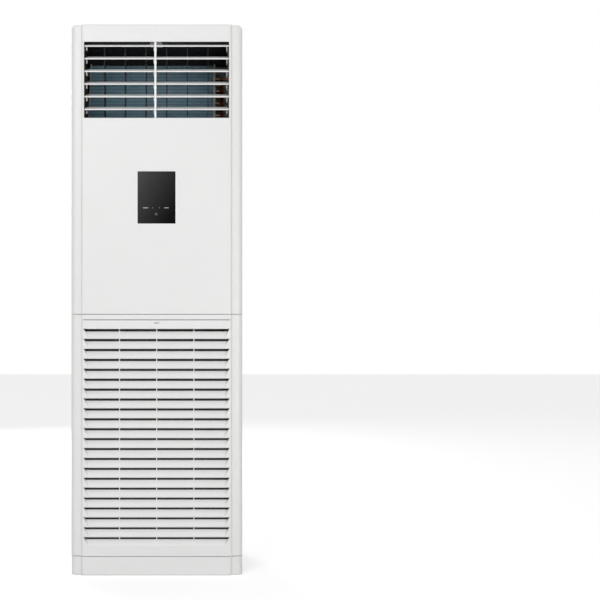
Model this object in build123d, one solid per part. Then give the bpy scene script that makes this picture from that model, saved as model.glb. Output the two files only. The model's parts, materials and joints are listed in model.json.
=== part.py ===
from build123d import *
import math
import os

# Floor standing air conditioner. Millimetres, +Z up, origin on the floor below the middle of the cabinet.
# The front faces -Y. Air enters low through the scooped louvres and leaves high through the slats.

# Cabinet
cabinet_width = 580.0
cabinet_depth = 400.0
cabinet_height = 1860.0
top_corner_radius = 18.0
sheet = 1.2
sheet_flange = 15.0
seam = 1.5
fit_gap = 0.5
running_gap = 0.05

# Front mouldings: side trims beside a raised centre
moulding_wall = 3.0
trim_width = 36.0
trim_setback = 11.0
trim_corner_radius = 20.0
centre_edge_radius = 8.0
moulding_return = 39.0
shelf_depth = 20.0
seam_edge_radius = 1.2
top_edge_radius = 4.0

# Plinth
plinth_height = 63.5
plinth_setback = 1.0
plinth_top_radius = 4.5
plinth_bottom_radius = 5.0

# Intake panel and its louvres
intake_height = 816.0
louvre_count = 22
louvre_foot_room = 27.24
first_slot_below_top = 52.2
slot_gap = 10.5
scoop_depth = 16.0
scoop_land = 1.08
scoop_side_room = 6.35
scoop_taper = 18.65
scoop_back_spread = 11.0
scoop_wall = 1.8
rib_count = 3
rib_share = 0.2539
rib_width = 3.0
rib_depth = 5.0
rib_past_blade = 6.0
brow_below_top = 18.0
brow_gap = 3.0
brow_depth = 2.0
finger_mark_below_top = 28.7
finger_mark_width = 17.0
finger_mark_gap = 3.0

# Hinge of the intake panel
hinge_side_room = 90.0
hinge_behind_front = 10.0
hinge_below_plinth_top = 13.5
hinge_pin_radius = 2.5
hinge_pin_length = 26.0
hinge_ear_radius = 5.0
hinge_ear_width = 8.0
hinge_ear_neck = 6.0
hinge_gusset_height = 12.0
hinge_gusset_lift = 26.0
hinge_cheek_width = 6.0
hinge_notch_room = 2.0

# Air filter
filter_side_room = 28.0
filter_foot_room = 27.0
filter_head_room = 61.0
filter_frame_bar = 10.0
filter_thickness = 5.0
filter_mesh_thickness = 0.6
filter_columns = 3
filter_rows = 6
filter_lift = 45.0
filter_front_gap = 6.5
rail_wall = 3.0
rail_lip = 6.0
filter_ledge_width = 20.0

# Panel catches
catch_width = 20.0
catch_height = 8.0
catch_lug_depth = 4.0
catch_lug_gap = 4.0

# Air outlet
outlet_side_room = 9.5
outlet_top_room = 58.5
outlet_height = 256.5
outlet_edge = 2.0
outlet_edge_slope = 45.0
frame_wall = 3.0
frame_behind_wall = 1.5
frame_side_room = 1.0
frame_top_room = 4.5
frame_bottom_room = 3.0
frame_depth = 126.0
mullion_x = -4.0
mullion_width = 6.5
mullion_bar_depth = 6.0
mullion_arm_height = 6.0

# Slats
slat_count = 6
slat_top_room = 21.35
slat_bottom_room = 20.9
slat_pivot_behind_front = 28.0
slat_chord = 40.0
slat_thickness = 4.5
slat_rise = 14.0
slat_rest_tilt = 18.0
slat_ear_thickness = 3.0
slat_ear_radius = 4.5
slat_boss_radius = 5.5
slat_boss_length = 6.0
slat_pin_radius = 2.0
slat_side_gap = 0.3
slat_end_gap = 0.5
slat_notch_past_middle = 5.0
slat_crank_radius = 16.0
slat_crank_angle = -17.5
slat_link_width = 7.0
slat_link_thickness = 3.4
link_end = 6.0

# Vanes
vane_count = 6
vane_side_room = 68.25
vane_behind_front = 88.0
vane_front_chord = 26.0
vane_rear_chord = 30.0
vane_thickness = 2.0
vane_pin_radius = 2.5
vane_pin_room = 14.0
vane_top_room = 8.0
vane_crank_radius = 20.0
vane_link_width = 7.0
vane_link_thickness = 3.4
vane_link_lift = 5.0

# Swing motor
swing_motor_radius = 14.0
swing_motor_height = 19.0
swing_motor_ear = 5.0
swing_motor_ear_thickness = 1.5
swing_motor_screw_radius = 1.7

# Display
display_width = 127.5
display_height = 175.8
display_share = 0.594
display_glass_thickness = 3.0
display_gap = 0.3
display_tray_rim = 6.0
display_tray_depth = 16.0
display_tray_wall = 2.5
board_thickness = 1.6
display_board_margin = 4.0
display_board_behind_glass = 7.0

# Evaporator coil
coil_bend_room = 29.8
coil_pipe_room = 85.8
coil_front_room = 70.0
coil_rear_room = 59.5
coil_top_room = 80.0
coil_foot_above_seam = 247.5
coil_depth = 44.0
coil_tube_radius = 4.76
coil_tube_wall = 0.5
coil_tube_spacing = 25.4
coil_tube_stagger = 60.0
coil_first_tube = 20.0
coil_bend_reach = 12.0
fin_count = 20
fin_thickness = 1.2
coil_plate = 4.0
coil_plate_margin = 4.0

# Refrigerant pipes
gas_pipe_radius = 9.525
liquid_pipe_radius = 4.76
pipe_wall = 1.0
gas_pipe_side_room = 50.0
gas_pipe_rear_room = 100.0
liquid_pipe_side_room = 28.0
pipe_end_height = 360.0
gas_bend_radius = 28.0
liquid_bend_radius = 18.0
gas_nut_radius = 20.8
gas_thread_radius = 13.5
liquid_nut_radius = 12.7
liquid_thread_radius = 7.94
union_hex_length = 14.0
union_thread_length = 16.0

# Drain
pan_side_room = 28.0
pan_front_room = 28.0
pan_depth = 110.0
pan_below_coil = 40.0
pan_height = 42.0
pan_wall = 3.0
drain_radius = 9.0
drain_wall = 2.0
drain_from_pan_side = 20.0
drain_from_pan_back = 22.0
drain_rear_room = 80.0
drain_turn_above_partition = 100.0
drain_end_height = 130.0
drain_bend_radius = 30.0
drain_spigot_radius = 10.0
drain_spigot_length = 30.0

# Outlet chamber lining
liner_wall = 8.0
liner_above_foot = 10.0
liner_top_wall = 18.0

# Partition, base pan and rail
partition_below_seam = 82.5
partition_sheet = 1.2
pipe_hole_room = 2.0
pipe_exit_room = 8.0
base_sheet = 2.0
base_wall = 40.0
base_side_gap = 0.3
bolt_side_room = 70.0
bolt_end_room = 70.0
bolt_slot_length = 20.0
bolt_slot_width = 10.0
rail_height = 36.0
rail_depth = 14.5
rail_below_seam = 16.5

# Fan
fan_height = 400.0
fan_scroll_room = 38.0
fan_blade_width = 30.0
fan_front_room = 23.0
fan_back_room = 20.0
fan_blade_count = 36
fan_blade_thickness = 1.4
fan_blade_lean = 28.0
fan_disc = 2.0
fan_ring_depth = 10.0
fan_ring_wall = 2.5
fan_hub_radius = 24.0
fan_hub_depth = 26.0
fan_shaft_radius = 6.35
fan_shaft_reach = 46.0
hub_nut_radius = 11.0
hub_nut_depth = 8.0

# Fan scroll
scroll_front_room = 52.0
scroll_rear_room = 150.0
scroll_wall = 1.2
scroll_side_room = 62.0
scroll_step = 25.0
scroll_tongue_angle = 65.0
scroll_eye_lap = 24.0
bellmouth_flare = 16.0
bellmouth_wall = 2.0
bellmouth_flange = 12.0
scroll_motor_hole_radius = 40.0

# Fan motor
motor_radius = 62.0
motor_gap = 10.0
motor_length = 80.0
motor_band_wall = 3.0
motor_band_depth = 24.0
motor_leg_reach = 128.0
motor_leg_width = 24.0
motor_leg_count = 4

# Electric box
box_width = 300.0
box_front_room = 21.5
box_depth = 47.0
box_height = 176.0
box_wall = 1.5
board_width = 165.0
board_height = 140.0
board_stand = 8.0
board_parts = 5
board_part_size = 14.0
terminal_width = 84.0
terminal_height = 26.0
terminal_depth = 18.0
terminal_ways = 6
terminal_hole_radius = 4.6
capacitor_radius = 17.0
capacitor_height = 62.0

# Small pieces
sensor_radius = 3.0
sensor_length = 28.0
port_radius = 45.0
port_side_room = 110.0
port_height = 200.0
port_lip = 6.0
port_cover_thickness = 2.0
gland_radius = 12.0
gland_bore_radius = 5.5
gland_length = 22.0
gland_side_room = 90.0
gland_height = 150.0
gland_flange_radius = 16.0
gland_flange_thickness = 2.0
strap_span = 120.0
strap_hole_radius = 2.75
strap_top_room = 80.0
screw_radius = 2.0
screw_head_radius = 4.0
screw_head_height = 2.2
screw_length = 9.0
screws_per_side = 5
rear_recess = 2.5
top_cover_height = 24.0
cut_room = 1.0

# Places that follow from the sizes
half_width = cabinet_width / 2
front_y = -cabinet_depth / 2
rear_y = cabinet_depth / 2
centre_half = half_width - trim_width
trim_y = front_y + trim_setback
moulding_back_y = trim_y + moulding_return
inner_y = front_y + moulding_wall
trim_inner_y = trim_y + moulding_wall
shelf_y = inner_y + shelf_depth
sheet_front_y = moulding_back_y + fit_gap
sheet_inner_x = half_width - sheet
intake_bottom = plinth_height + seam
intake_top = intake_bottom + intake_height
upper_bottom = intake_top + seam
first_slot_height = intake_top - first_slot_below_top
louvre_pitch = (intake_height - first_slot_below_top - louvre_foot_room) / louvre_count
scoop_height = louvre_pitch - scoop_land
scoop_top_width = 2 * (centre_half - scoop_side_room)
scoop_bottom_width = scoop_top_width - 2 * scoop_taper
scoop_back_width = scoop_bottom_width + 2 * scoop_back_spread
rib_spacing = rib_share * scoop_top_width
brow_height = intake_top - brow_below_top
finger_mark_height = intake_top - finger_mark_below_top
hinge_span = cabinet_width - 2 * hinge_side_room
filter_width = cabinet_width - 2 * filter_side_room
filter_bottom = intake_bottom + filter_foot_room
filter_height = intake_height - filter_foot_room - filter_head_room
outlet_width = 2 * (centre_half - outlet_side_room)
outlet_top = cabinet_height - outlet_top_room
outlet_bottom = outlet_top - outlet_height
display_centre_height = upper_bottom + display_share * (outlet_bottom - upper_bottom)
hinge_y = front_y + hinge_behind_front
hinge_z = plinth_height - hinge_below_plinth_top
scoop_back_y = front_y + scoop_depth
filter_front_y = trim_inner_y + filter_front_gap
filter_back_y = filter_front_y + filter_thickness
frame_front_y = inner_y + frame_behind_wall
frame_back_y = frame_front_y + frame_depth
frame_half = outlet_width / 2 + frame_side_room
frame_top = outlet_top + frame_top_room
frame_bottom = outlet_bottom - frame_bottom_room
slat_pivot_y = front_y + slat_pivot_behind_front
slat_boss_inner_x = frame_half - slat_boss_length
slat_half = slat_boss_inner_x - slat_side_gap
slat_pitch = (outlet_height - slat_top_room - slat_bottom_room) / (slat_count - 1)
slat_heights = [outlet_top - slat_top_room - slat_pitch * k for k in range(slat_count)]
vane_y = front_y + vane_behind_front
vane_pitch = 2 * (frame_half - vane_side_room) / (vane_count - 1)
vane_places = [mullion_x + vane_pitch * (k - (vane_count - 1) / 2) for k in range(vane_count)]
vane_bottom = frame_bottom + vane_pin_room
vane_top = frame_top - vane_top_room
vane_link_z = frame_bottom + vane_link_lift
rear_panel_y = rear_y - rear_recess
top_cover_bottom = cabinet_height - top_cover_height
mullion_left = mullion_x - mullion_width / 2
mullion_right = mullion_x + mullion_width / 2
partition_height = upper_bottom - partition_below_seam
rail_bottom = upper_bottom - rail_below_seam
liner_inner_x = sheet_inner_x - cut_room - liner_wall
coil_left = coil_bend_room - liner_inner_x
coil_right = liner_inner_x - coil_pipe_room
coil_foot_y = front_y + coil_front_room
coil_foot_height = upper_bottom + coil_foot_above_seam
coil_run = rear_y - coil_rear_room - coil_foot_y
coil_rise = cabinet_height - coil_top_room - coil_foot_height
coil_tilt = math.degrees(math.atan2(coil_run, coil_rise))
coil_length = math.hypot(coil_run, coil_rise)
coil_row_count = int((coil_length - coil_first_tube) / coil_tube_spacing)
gas_pipe_x = half_width - gas_pipe_side_room
gas_pipe_y = rear_y - gas_pipe_rear_room
liquid_pipe_x = half_width - liquid_pipe_side_room
liner_bottom = coil_foot_height + liner_above_foot
pan_half = half_width - pan_side_room
pan_front_y = front_y + pan_front_room
pan_back_y = pan_front_y + pan_depth
pan_bottom = coil_foot_height - pan_below_coil
drain_x = drain_from_pan_side - pan_half
drain_y = pan_back_y - drain_from_pan_back
drain_back_y = rear_y - drain_rear_room
drain_turn_height = partition_height + drain_turn_above_partition
bolt_span_x = cabinet_width - 2 * bolt_side_room
bolt_span_y = cabinet_depth - 2 * bolt_end_room
scroll_front_y = front_y + scroll_front_room
scroll_back_y = rear_y - scroll_rear_room
scroll_split_y = (scroll_front_y + scroll_back_y) / 2
scroll_radius = half_width - scroll_side_room
fan_radius = scroll_radius - fan_scroll_room
fan_front_y = scroll_front_y + fan_front_room
fan_back_y = scroll_back_y - fan_back_room
fan_shaft_front_y = fan_back_y - fan_shaft_reach
scroll_eye_radius = fan_radius - scroll_eye_lap
motor_front_y = scroll_back_y + motor_gap
motor_back_y = motor_front_y + motor_length
box_left = -box_width / 2
box_right = box_width / 2
box_front_y = front_y + box_front_room
box_back_y = box_front_y + box_depth
port_x = half_width - port_side_room
gland_x = gland_side_room - half_width
strap_height = cabinet_height - strap_top_room


def block(x, y, z):
    # A box between two limits on each axis.
    spans = (x, y, z)
    sizes = [high - low for low, high in spans]
    middle = [(high + low) / 2 for low, high in spans]
    return Pos(*middle) * Box(*sizes)


def rod_x(x, y, z, radius):
    low, high = x
    return Pos((low + high) / 2, y, z) * Rot(0, 90, 0) * Cylinder(radius, high - low)


def rod_y(x, y, z, radius):
    low, high = y
    return Pos(x, (low + high) / 2, z) * Rot(90, 0, 0) * Cylinder(radius, high - low)


def rod_z(x, y, z, radius):
    low, high = z
    return Pos(x, y, (low + high) / 2) * Cylinder(radius, high - low)


def group(pieces):
    # Separate solids that share one node.
    solids = []
    for piece in pieces:
        solids.extend(piece.solids())
    return Compound(solids)


def slab_with_front_edges(half, front, back, low, high, low_radius, high_radius):
    # A box whose two front edges along X are rounded.
    body = block((-half, half), (front, back), (low, high))
    lower_front = body.edges().filter_by(Axis.X).group_by(Axis.Y)[0].sort_by(Axis.Z)[0]
    body = fillet(lower_front, low_radius)
    upper_edges = body.edges().filter_by(Axis.X).group_by(Axis.Z)[-1]
    return fillet(upper_edges.sort_by(Axis.Y)[0], high_radius)


def plan_rectangle(half, front, back, corner_radius):
    # A rectangle in plan with rounded front corners.
    sketch = Pos(0, (front + back) / 2) * Rectangle(2 * half, back - front)
    front_corners = sketch.vertices().group_by(Axis.Y)[0]
    return fillet(front_corners, corner_radius)


def moulding_body(inset, low, high, low_radius, high_radius):
    # Side trims and raised centre as one solid block, drawn in by inset on the front and sides.
    back = moulding_back_y
    trim_plan = plan_rectangle(half_width - inset, trim_y + inset, back, trim_corner_radius - inset)
    centre_plan = plan_rectangle(centre_half - inset, front_y + inset, back, centre_edge_radius - inset)
    trims = Pos(0, 0, low) * extrude(trim_plan, high - low)
    centre = Pos(0, 0, low) * extrude(centre_plan, high - low)
    trims &= slab_with_front_edges(half_width, trim_y + inset, back, low, high, low_radius, high_radius)
    centre &= slab_with_front_edges(half_width, front_y + inset, back, low, high, low_radius, high_radius)
    return trims + centre


def moulding_hollow(inset, low, high):
    # The room inside such a moulding, open at its back.
    back = moulding_back_y + cut_room
    trim_plan = plan_rectangle(half_width - inset, trim_y + inset, back, trim_corner_radius - inset)
    centre_plan = plan_rectangle(centre_half - inset, front_y + inset, back, centre_edge_radius - inset)
    return Pos(0, 0, low) * extrude(trim_plan + centre_plan, high - low)


def top_rounding(inset):
    # The cabinet's front view with its two rounded top corners, as a long block.
    depth = (front_y - cut_room, rear_y + cut_room)
    body = block((inset - half_width, half_width - inset), depth, (-cut_room, cabinet_height - inset))
    top_edges = body.edges().filter_by(Axis.Y).group_by(Axis.Z)[-1]
    return fillet(top_edges, top_corner_radius - inset)


def upper_front_panel():
    body = moulding_body(0, upper_bottom, cabinet_height, seam_edge_radius, top_edge_radius)
    body &= top_rounding(0)
    hollow = moulding_hollow(moulding_wall, upper_bottom + moulding_wall, cabinet_height)
    hollow &= top_rounding(moulding_wall)
    behind_shelf = moulding_hollow(moulding_wall, upper_bottom - cut_room, upper_bottom + 2 * moulding_wall)
    behind_shelf &= block((-half_width, half_width), (shelf_y, rear_y), (0, cabinet_height))
    body -= hollow
    body -= behind_shelf
    opening_x = (-outlet_width / 2, outlet_width / 2)
    through_front = (front_y - cut_room, inner_y + cut_room)
    body -= block(opening_x, through_front, (outlet_bottom, outlet_top))
    rim = Rectangle(outlet_width, outlet_height)
    rim_place = Pos(0, front_y + outlet_edge, (outlet_bottom + outlet_top) / 2)
    body -= rim_place * extrude(Plane.XZ * rim, outlet_edge + cut_room, taper=-outlet_edge_slope)
    half_glass = display_width / 2 + display_gap
    half_tall = display_height / 2 + display_gap
    window_z = (display_centre_height - half_tall, display_centre_height + half_tall)
    body -= block((-half_glass, half_glass), through_front, window_z)
    return body


def plinth():
    shell_inset = plinth_setback + moulding_wall
    body = moulding_body(plinth_setback, 0, plinth_height, plinth_bottom_radius, plinth_top_radius)
    body -= moulding_hollow(shell_inset, -cut_room, plinth_height - moulding_wall)
    behind_shelf = block((-half_width, half_width), (shelf_y, rear_y), (0, cabinet_height))
    body -= moulding_hollow(shell_inset, 0, cabinet_height) & behind_shelf
    for side in (-1, 1):
        middle = side * hinge_span / 2
        half_notch = hinge_ear_width / 2 + hinge_notch_room
        half_cheek = half_notch + hinge_cheek_width
        cheek_y = (inner_y + plinth_setback, hinge_y + hinge_ear_radius + hinge_notch_room)
        cheek_top = plinth_height - moulding_wall + cut_room
        cheek_z = (hinge_z - hinge_ear_radius - hinge_notch_room, cheek_top)
        body += block((middle - half_cheek, middle + half_cheek), cheek_y, cheek_z)
        notch_z = (cheek_z[0] - cut_room, plinth_height + cut_room)
        notch_y = (cheek_y[0], cheek_y[1] + cut_room)
        body -= block((middle - half_notch, middle + half_notch), notch_y, notch_z)
        body -= hinge_pin(middle)
    return body


def hinge_pin(middle):
    half = hinge_pin_length / 2
    return rod_x((middle - half, middle + half), hinge_y, hinge_z, hinge_pin_radius)


def panel_hinge_pins():
    return group([hinge_pin(side * hinge_span / 2) for side in (-1, 1)])


def wedge(bottom_half, top_half, back_half, bottom_z, top_z, back_y, back_z, face_y):
    # A scoop's room: open front and top, a sloping blade face below and two sloping ends.
    low_left = (-bottom_half, face_y, bottom_z)
    low_right = (bottom_half, face_y, bottom_z)
    top_left = (-top_half, face_y, top_z)
    top_right = (top_half, face_y, top_z)
    back_left = (-back_half, back_y, back_z)
    back_right = (back_half, back_y, back_z)
    outlines = [
        (low_left, low_right, top_right, top_left),
        (low_left, back_left, back_right, low_right),
        (top_left, top_right, back_right, back_left),
        (low_left, top_left, back_left),
        (low_right, back_right, top_right),
    ]
    faces = [Face(Wire.make_polygon([Vector(*point) for point in outline])) for outline in outlines]
    return Solid(Shell(faces))


def scoop_room():
    # Measured from the slot's top edge, with the front face at the panel's front.
    return wedge(
        scoop_bottom_width / 2,
        scoop_top_width / 2,
        scoop_back_width / 2,
        -scoop_height,
        0,
        scoop_back_y,
        -slot_gap,
        front_y,
    )


def scoop_blade():
    # The same wedge one wall thicker below and at both ends, with its top in the same sloping plane.
    rise = scoop_height - slot_gap
    face_length = math.hypot(rise, scoop_depth)
    drop = scoop_wall * face_length / scoop_depth
    slot_slope = slot_gap / scoop_depth
    extra = drop / (rise / scoop_depth + slot_slope)
    return wedge(
        scoop_bottom_width / 2 + scoop_wall,
        scoop_top_width / 2 + scoop_wall,
        scoop_back_width / 2 + scoop_wall,
        -scoop_height - drop,
        0,
        scoop_back_y + extra,
        -slot_gap - extra * slot_slope,
        front_y,
    )


def intake_panel():
    body = moulding_body(0, intake_bottom, intake_top, seam_edge_radius, seam_edge_radius)
    body -= moulding_hollow(moulding_wall, intake_bottom + moulding_wall, intake_top - moulding_wall)
    behind_shelf = block((-half_width, half_width), (shelf_y, rear_y), (0, cabinet_height))
    body -= moulding_hollow(moulding_wall, 0, cabinet_height) & behind_shelf
    slot_tops = [first_slot_height + slot_gap / 2 - louvre_pitch * k for k in range(louvre_count)]
    blade = scoop_blade()
    room = scoop_room()
    body += [Pos(0, 0, top) * blade for top in slot_tops]
    body -= [Pos(0, 0, top) * room for top in slot_tops]
    ribs_top = slot_tops[0] + rib_depth
    ribs_bottom = slot_tops[-1] - scoop_height
    for k in range(rib_count):
        middle = rib_spacing * (k - (rib_count - 1) / 2)
        rib_x = (middle - rib_width / 2, middle + rib_width / 2)
        rib_y = (scoop_back_y - rib_past_blade, scoop_back_y + rib_width)
        body += block(rib_x, rib_y, (ribs_bottom, ribs_top))
    brow_z = (brow_height - brow_gap / 2, brow_height + brow_gap / 2)
    groove_y = (front_y - cut_room, front_y + brow_depth)
    body -= block((-scoop_top_width / 2, scoop_top_width / 2), groove_y, brow_z)
    mark_z = (finger_mark_height - finger_mark_gap / 2, finger_mark_height + finger_mark_gap / 2)
    body -= block((-finger_mark_width / 2, finger_mark_width / 2), groove_y, mark_z)
    return body + panel_ears() + filter_rails() + catch_lugs()


def panel_ears():
    # Two ears that hang from the panel's lower edge onto the hinge pins.
    ears = []
    for side in (-1, 1):
        middle = side * hinge_span / 2
        x = (middle - hinge_ear_width / 2, middle + hinge_ear_width / 2)
        neck_y = (hinge_y + cut_room, hinge_y + hinge_ear_neck - cut_room)
        gusset_z = hinge_z + hinge_gusset_lift
        ear = rod_x(x, hinge_y, hinge_z, hinge_ear_radius)
        ear += block(x, neck_y, (hinge_z, gusset_z + hinge_gusset_height))
        ear += block(x, (inner_y, neck_y[1]), (gusset_z, gusset_z + hinge_gusset_height))
        ear -= rod_x(x, hinge_y, hinge_z, hinge_pin_radius + running_gap)
        ears.append(ear)
    return ears


def filter_rails():
    # Upright L rails behind the trims, and two ledges that the filter stands on.
    pieces = []
    rail_x = filter_width / 2 + fit_gap
    lip_y = filter_back_y + fit_gap
    rail_z = (filter_bottom, filter_bottom + filter_height + filter_lift)
    for side in (-1, 1):
        web_x = sorted((side * rail_x, side * (rail_x + rail_wall)))
        lip_x = sorted((side * (rail_x - rail_lip), side * (rail_x + rail_wall)))
        ledge_x = sorted((side * (rail_x - filter_ledge_width), side * (rail_x + rail_wall)))
        pieces.append(block(web_x, (trim_inner_y, lip_y + rail_wall), rail_z))
        pieces.append(block(lip_x, (lip_y, lip_y + rail_wall), rail_z))
        ledge_z = (filter_bottom - rail_wall, filter_bottom)
        pieces.append(block(ledge_x, (trim_inner_y, lip_y + rail_wall), ledge_z))
    return pieces


def catch_lugs():
    lugs = []
    for side in (-1, 1):
        middle = side * hinge_span / 2
        x = (middle - catch_width / 2, middle + catch_width / 2)
        lug_z = (intake_top - moulding_wall - catch_height, intake_top - moulding_wall)
        lugs.append(block(x, (shelf_y - catch_lug_depth, shelf_y), lug_z))
    return lugs


def panel_catches():
    # Spring clips on the front rail that hold the panel's lugs.
    clips = []
    rail_front = sheet_front_y - cut_room - rail_depth
    for side in (-1, 1):
        middle = side * hinge_span / 2
        x = (middle - catch_width / 2, middle + catch_width / 2)
        clip_y = (shelf_y + catch_lug_gap - moulding_wall, rail_front)
        clips.append(block(x, clip_y, (rail_bottom, rail_bottom + catch_height)))
    return group(clips)


def filter_frame():
    half = filter_width / 2
    top = filter_bottom + filter_height
    y = (filter_front_y, filter_back_y)
    body = block((-half, half), y, (filter_bottom, top))
    cell_width = (filter_width - filter_frame_bar * (filter_columns + 1)) / filter_columns
    cell_height = (filter_height - filter_frame_bar * (filter_rows + 1)) / filter_rows
    cells = []
    for column in range(filter_columns):
        for row in range(filter_rows):
            left = -half + filter_frame_bar + column * (cell_width + filter_frame_bar)
            low = filter_bottom + filter_frame_bar + row * (cell_height + filter_frame_bar)
            cells.append(block((left, left + cell_width), y, (low, low + cell_height)))
    return body - cells - filter_mesh()


def filter_mesh():
    half = filter_width / 2 - filter_frame_bar / 2
    middle = (filter_front_y + filter_back_y) / 2
    y = (middle - filter_mesh_thickness / 2, middle + filter_mesh_thickness / 2)
    low = filter_bottom + filter_frame_bar / 2
    high = filter_bottom + filter_height - filter_frame_bar / 2
    return block((-half, half), y, (low, high))


def outlet_frame():
    # The duct ring behind the front panel, with bearing bosses, the mullion and the vane bearings.
    outer_half = frame_half + frame_wall
    y = (frame_front_y, frame_back_y)
    body = block((-outer_half, outer_half), y, (frame_bottom - frame_wall, frame_top + frame_wall))
    room_y = (frame_front_y - cut_room, frame_back_y + cut_room)
    body -= block((-frame_half, frame_half), room_y, (frame_bottom, frame_top))
    bar_y = (front_y + cut_room, front_y + cut_room + mullion_bar_depth)
    body += block((mullion_left, mullion_right), bar_y, (outlet_bottom + fit_gap, outlet_top - fit_gap))
    foot_y = (frame_front_y, bar_y[1])
    body += block((mullion_left, mullion_right), foot_y, (frame_bottom, frame_top))
    for height in slat_heights:
        for side in (-1, 1):
            boss_x = sorted((side * slat_boss_inner_x, side * (frame_half + frame_wall)))
            body += rod_x(boss_x, slat_pivot_y, height, slat_boss_radius)
            body -= rod_x(boss_x, slat_pivot_y, height, slat_pin_radius + running_gap)
        arm_z = (height - mullion_arm_height / 2, height + mullion_arm_height / 2)
        arm_x = (mullion_left, mullion_right)
        body += block(arm_x, (bar_y[1] - cut_room, slat_pivot_y), arm_z)
        body += rod_x(arm_x, slat_pivot_y, height, slat_boss_radius)
        body -= rod_x(arm_x, slat_pivot_y, height, slat_pin_radius + running_gap)
    vane_bore = vane_pin_radius + running_gap
    for x in vane_places:
        body -= rod_z(x, vane_y, (frame_top - cut_room, frame_top + frame_wall + cut_room), vane_bore)
        body -= rod_z(x, vane_y, (frame_bottom - frame_wall - cut_room, frame_bottom + cut_room), vane_bore)
    return body


def slat(height):
    # A blade on three ears, tilted front edge down, with its crank for the link bar at the right end.
    ear_inner = slat_half - slat_ear_thickness
    blade_plan = SlotOverall(slat_chord, slat_thickness)
    blade_half = outlet_width / 2 - slat_end_gap
    blade = extrude(Plane.YZ * Pos(0, slat_rise) * blade_plan, blade_half, both=True)
    behind = (slat_notch_past_middle, slat_chord)
    for side in (-1, 1):
        corner_x = sorted((side * slat_half, side * (blade_half + cut_room)))
        blade -= block(corner_x, behind, (0, 2 * slat_rise))
    notch_x = (mullion_left - slat_side_gap - fit_gap, mullion_right + slat_side_gap)
    notch_y = (-slat_chord, slat_notch_past_middle)
    blade -= block(notch_x, notch_y, (0, 2 * slat_rise))
    middle_ear = (notch_x[0] - slat_ear_thickness, notch_x[0])
    for ear_x in ((-slat_half, -ear_inner), middle_ear, (ear_inner, slat_half)):
        blade += rod_x(ear_x, 0, 0, slat_ear_radius)
        blade += block(ear_x, (-slat_ear_radius, slat_ear_radius), (0, slat_rise))
    blade = Rot(slat_rest_tilt, 0, 0) * blade
    crank_x = (ear_inner, slat_half)
    arm = block(crank_x, (0, slat_crank_radius), (-slat_link_width / 2, slat_link_width / 2))
    arm += rod_x(crank_x, slat_crank_radius, 0, slat_link_width / 2)
    blade += Rot(slat_crank_angle, 0, 0) * arm
    blade += rod_x((-frame_half, -slat_half), 0, 0, slat_pin_radius)
    blade += rod_x((slat_half, frame_half), 0, 0, slat_pin_radius)
    blade += rod_x((notch_x[0], mullion_right), 0, 0, slat_pin_radius)
    crank_y, crank_z = slat_crank_place()
    link_x = slat_link_span()
    blade += rod_x((slat_half, link_x[1] + fit_gap), crank_y, crank_z, slat_pin_radius)
    return Pos(0, slat_pivot_y, height) * blade


def slat_crank_place():
    angle = math.radians(slat_crank_angle)
    return slat_crank_radius * math.cos(angle), slat_crank_radius * math.sin(angle)


def slat_link_span():
    low = slat_half + fit_gap
    return low, low + slat_link_thickness


def slat_link_bar():
    crank_y, crank_z = slat_crank_place()
    x = slat_link_span()
    y = slat_pivot_y + crank_y
    low = slat_heights[-1] + crank_z - link_end
    high = slat_heights[0] + crank_z + link_end
    bar = block(x, (y - slat_link_width / 2, y + slat_link_width / 2), (low, high))
    holes = [rod_x(x, y, height + crank_z, slat_pin_radius + running_gap) for height in slat_heights]
    return bar - holes


def vane(x, drive_length):
    # An upright blade on a top and a bottom pin, with a crank pin for the link bar below it.
    half = vane_thickness / 2
    body = block((-half, half), (-vane_front_chord, vane_rear_chord), (vane_bottom, vane_top))
    body += rod_z(0, 0, (frame_bottom - frame_wall - drive_length, vane_bottom), vane_pin_radius)
    body += rod_z(0, 0, (vane_top, frame_top + frame_wall), vane_pin_radius)
    crank_z = (vane_link_z - cut_room, vane_bottom)
    body += rod_z(0, vane_crank_radius, crank_z, vane_pin_radius)
    return Pos(x, vane_y, 0) * body


def vane_link_bar():
    y = vane_y + vane_crank_radius
    z = (vane_link_z, vane_link_z + vane_link_thickness)
    end = link_end + vane_pin_radius
    bar_x = (vane_places[0] - end, vane_places[-1] + end)
    bar = block(bar_x, (y - vane_link_width / 2, y + vane_link_width / 2), z)
    holes = [rod_z(x, y, z, vane_pin_radius + running_gap) for x in vane_places]
    return bar - holes


def swing_motor():
    top = frame_bottom - frame_wall
    x = vane_places[0]
    body = rod_z(x, vane_y, (top - swing_motor_height, top), swing_motor_radius)
    reach = swing_motor_radius + 2 * swing_motor_ear
    ear_z = (top - swing_motor_ear_thickness, top)
    ear = block((x - reach, x + reach), (vane_y - swing_motor_ear, vane_y + swing_motor_ear), ear_z)
    body += ear
    drive_room = (top - swing_motor_height / 2, top)
    body -= rod_z(x, vane_y, drive_room, vane_pin_radius + running_gap)
    for side in (-1, 1):
        screw_x = x + side * (reach - swing_motor_ear)
        body -= rod_z(screw_x, vane_y, ear_z, swing_motor_screw_radius)
    return body


def display_glass():
    half = display_width / 2
    half_tall = display_height / 2
    z = (display_centre_height - half_tall, display_centre_height + half_tall)
    return block((-half, half), (front_y, front_y + display_glass_thickness), z)


def display_tray():
    half = display_width / 2 + display_tray_rim
    half_tall = display_height / 2 + display_tray_rim
    z = (display_centre_height - half_tall, display_centre_height + half_tall)
    y = (inner_y, inner_y + display_tray_depth)
    tray = block((-half, half), y, z)
    room = half - display_tray_rim - display_tray_wall
    room_tall = half_tall - display_tray_rim - display_tray_wall
    room_z = (display_centre_height - room_tall, display_centre_height + room_tall)
    return tray - block((-room, room), (inner_y - cut_room, y[1] - display_tray_wall), room_z)


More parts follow.
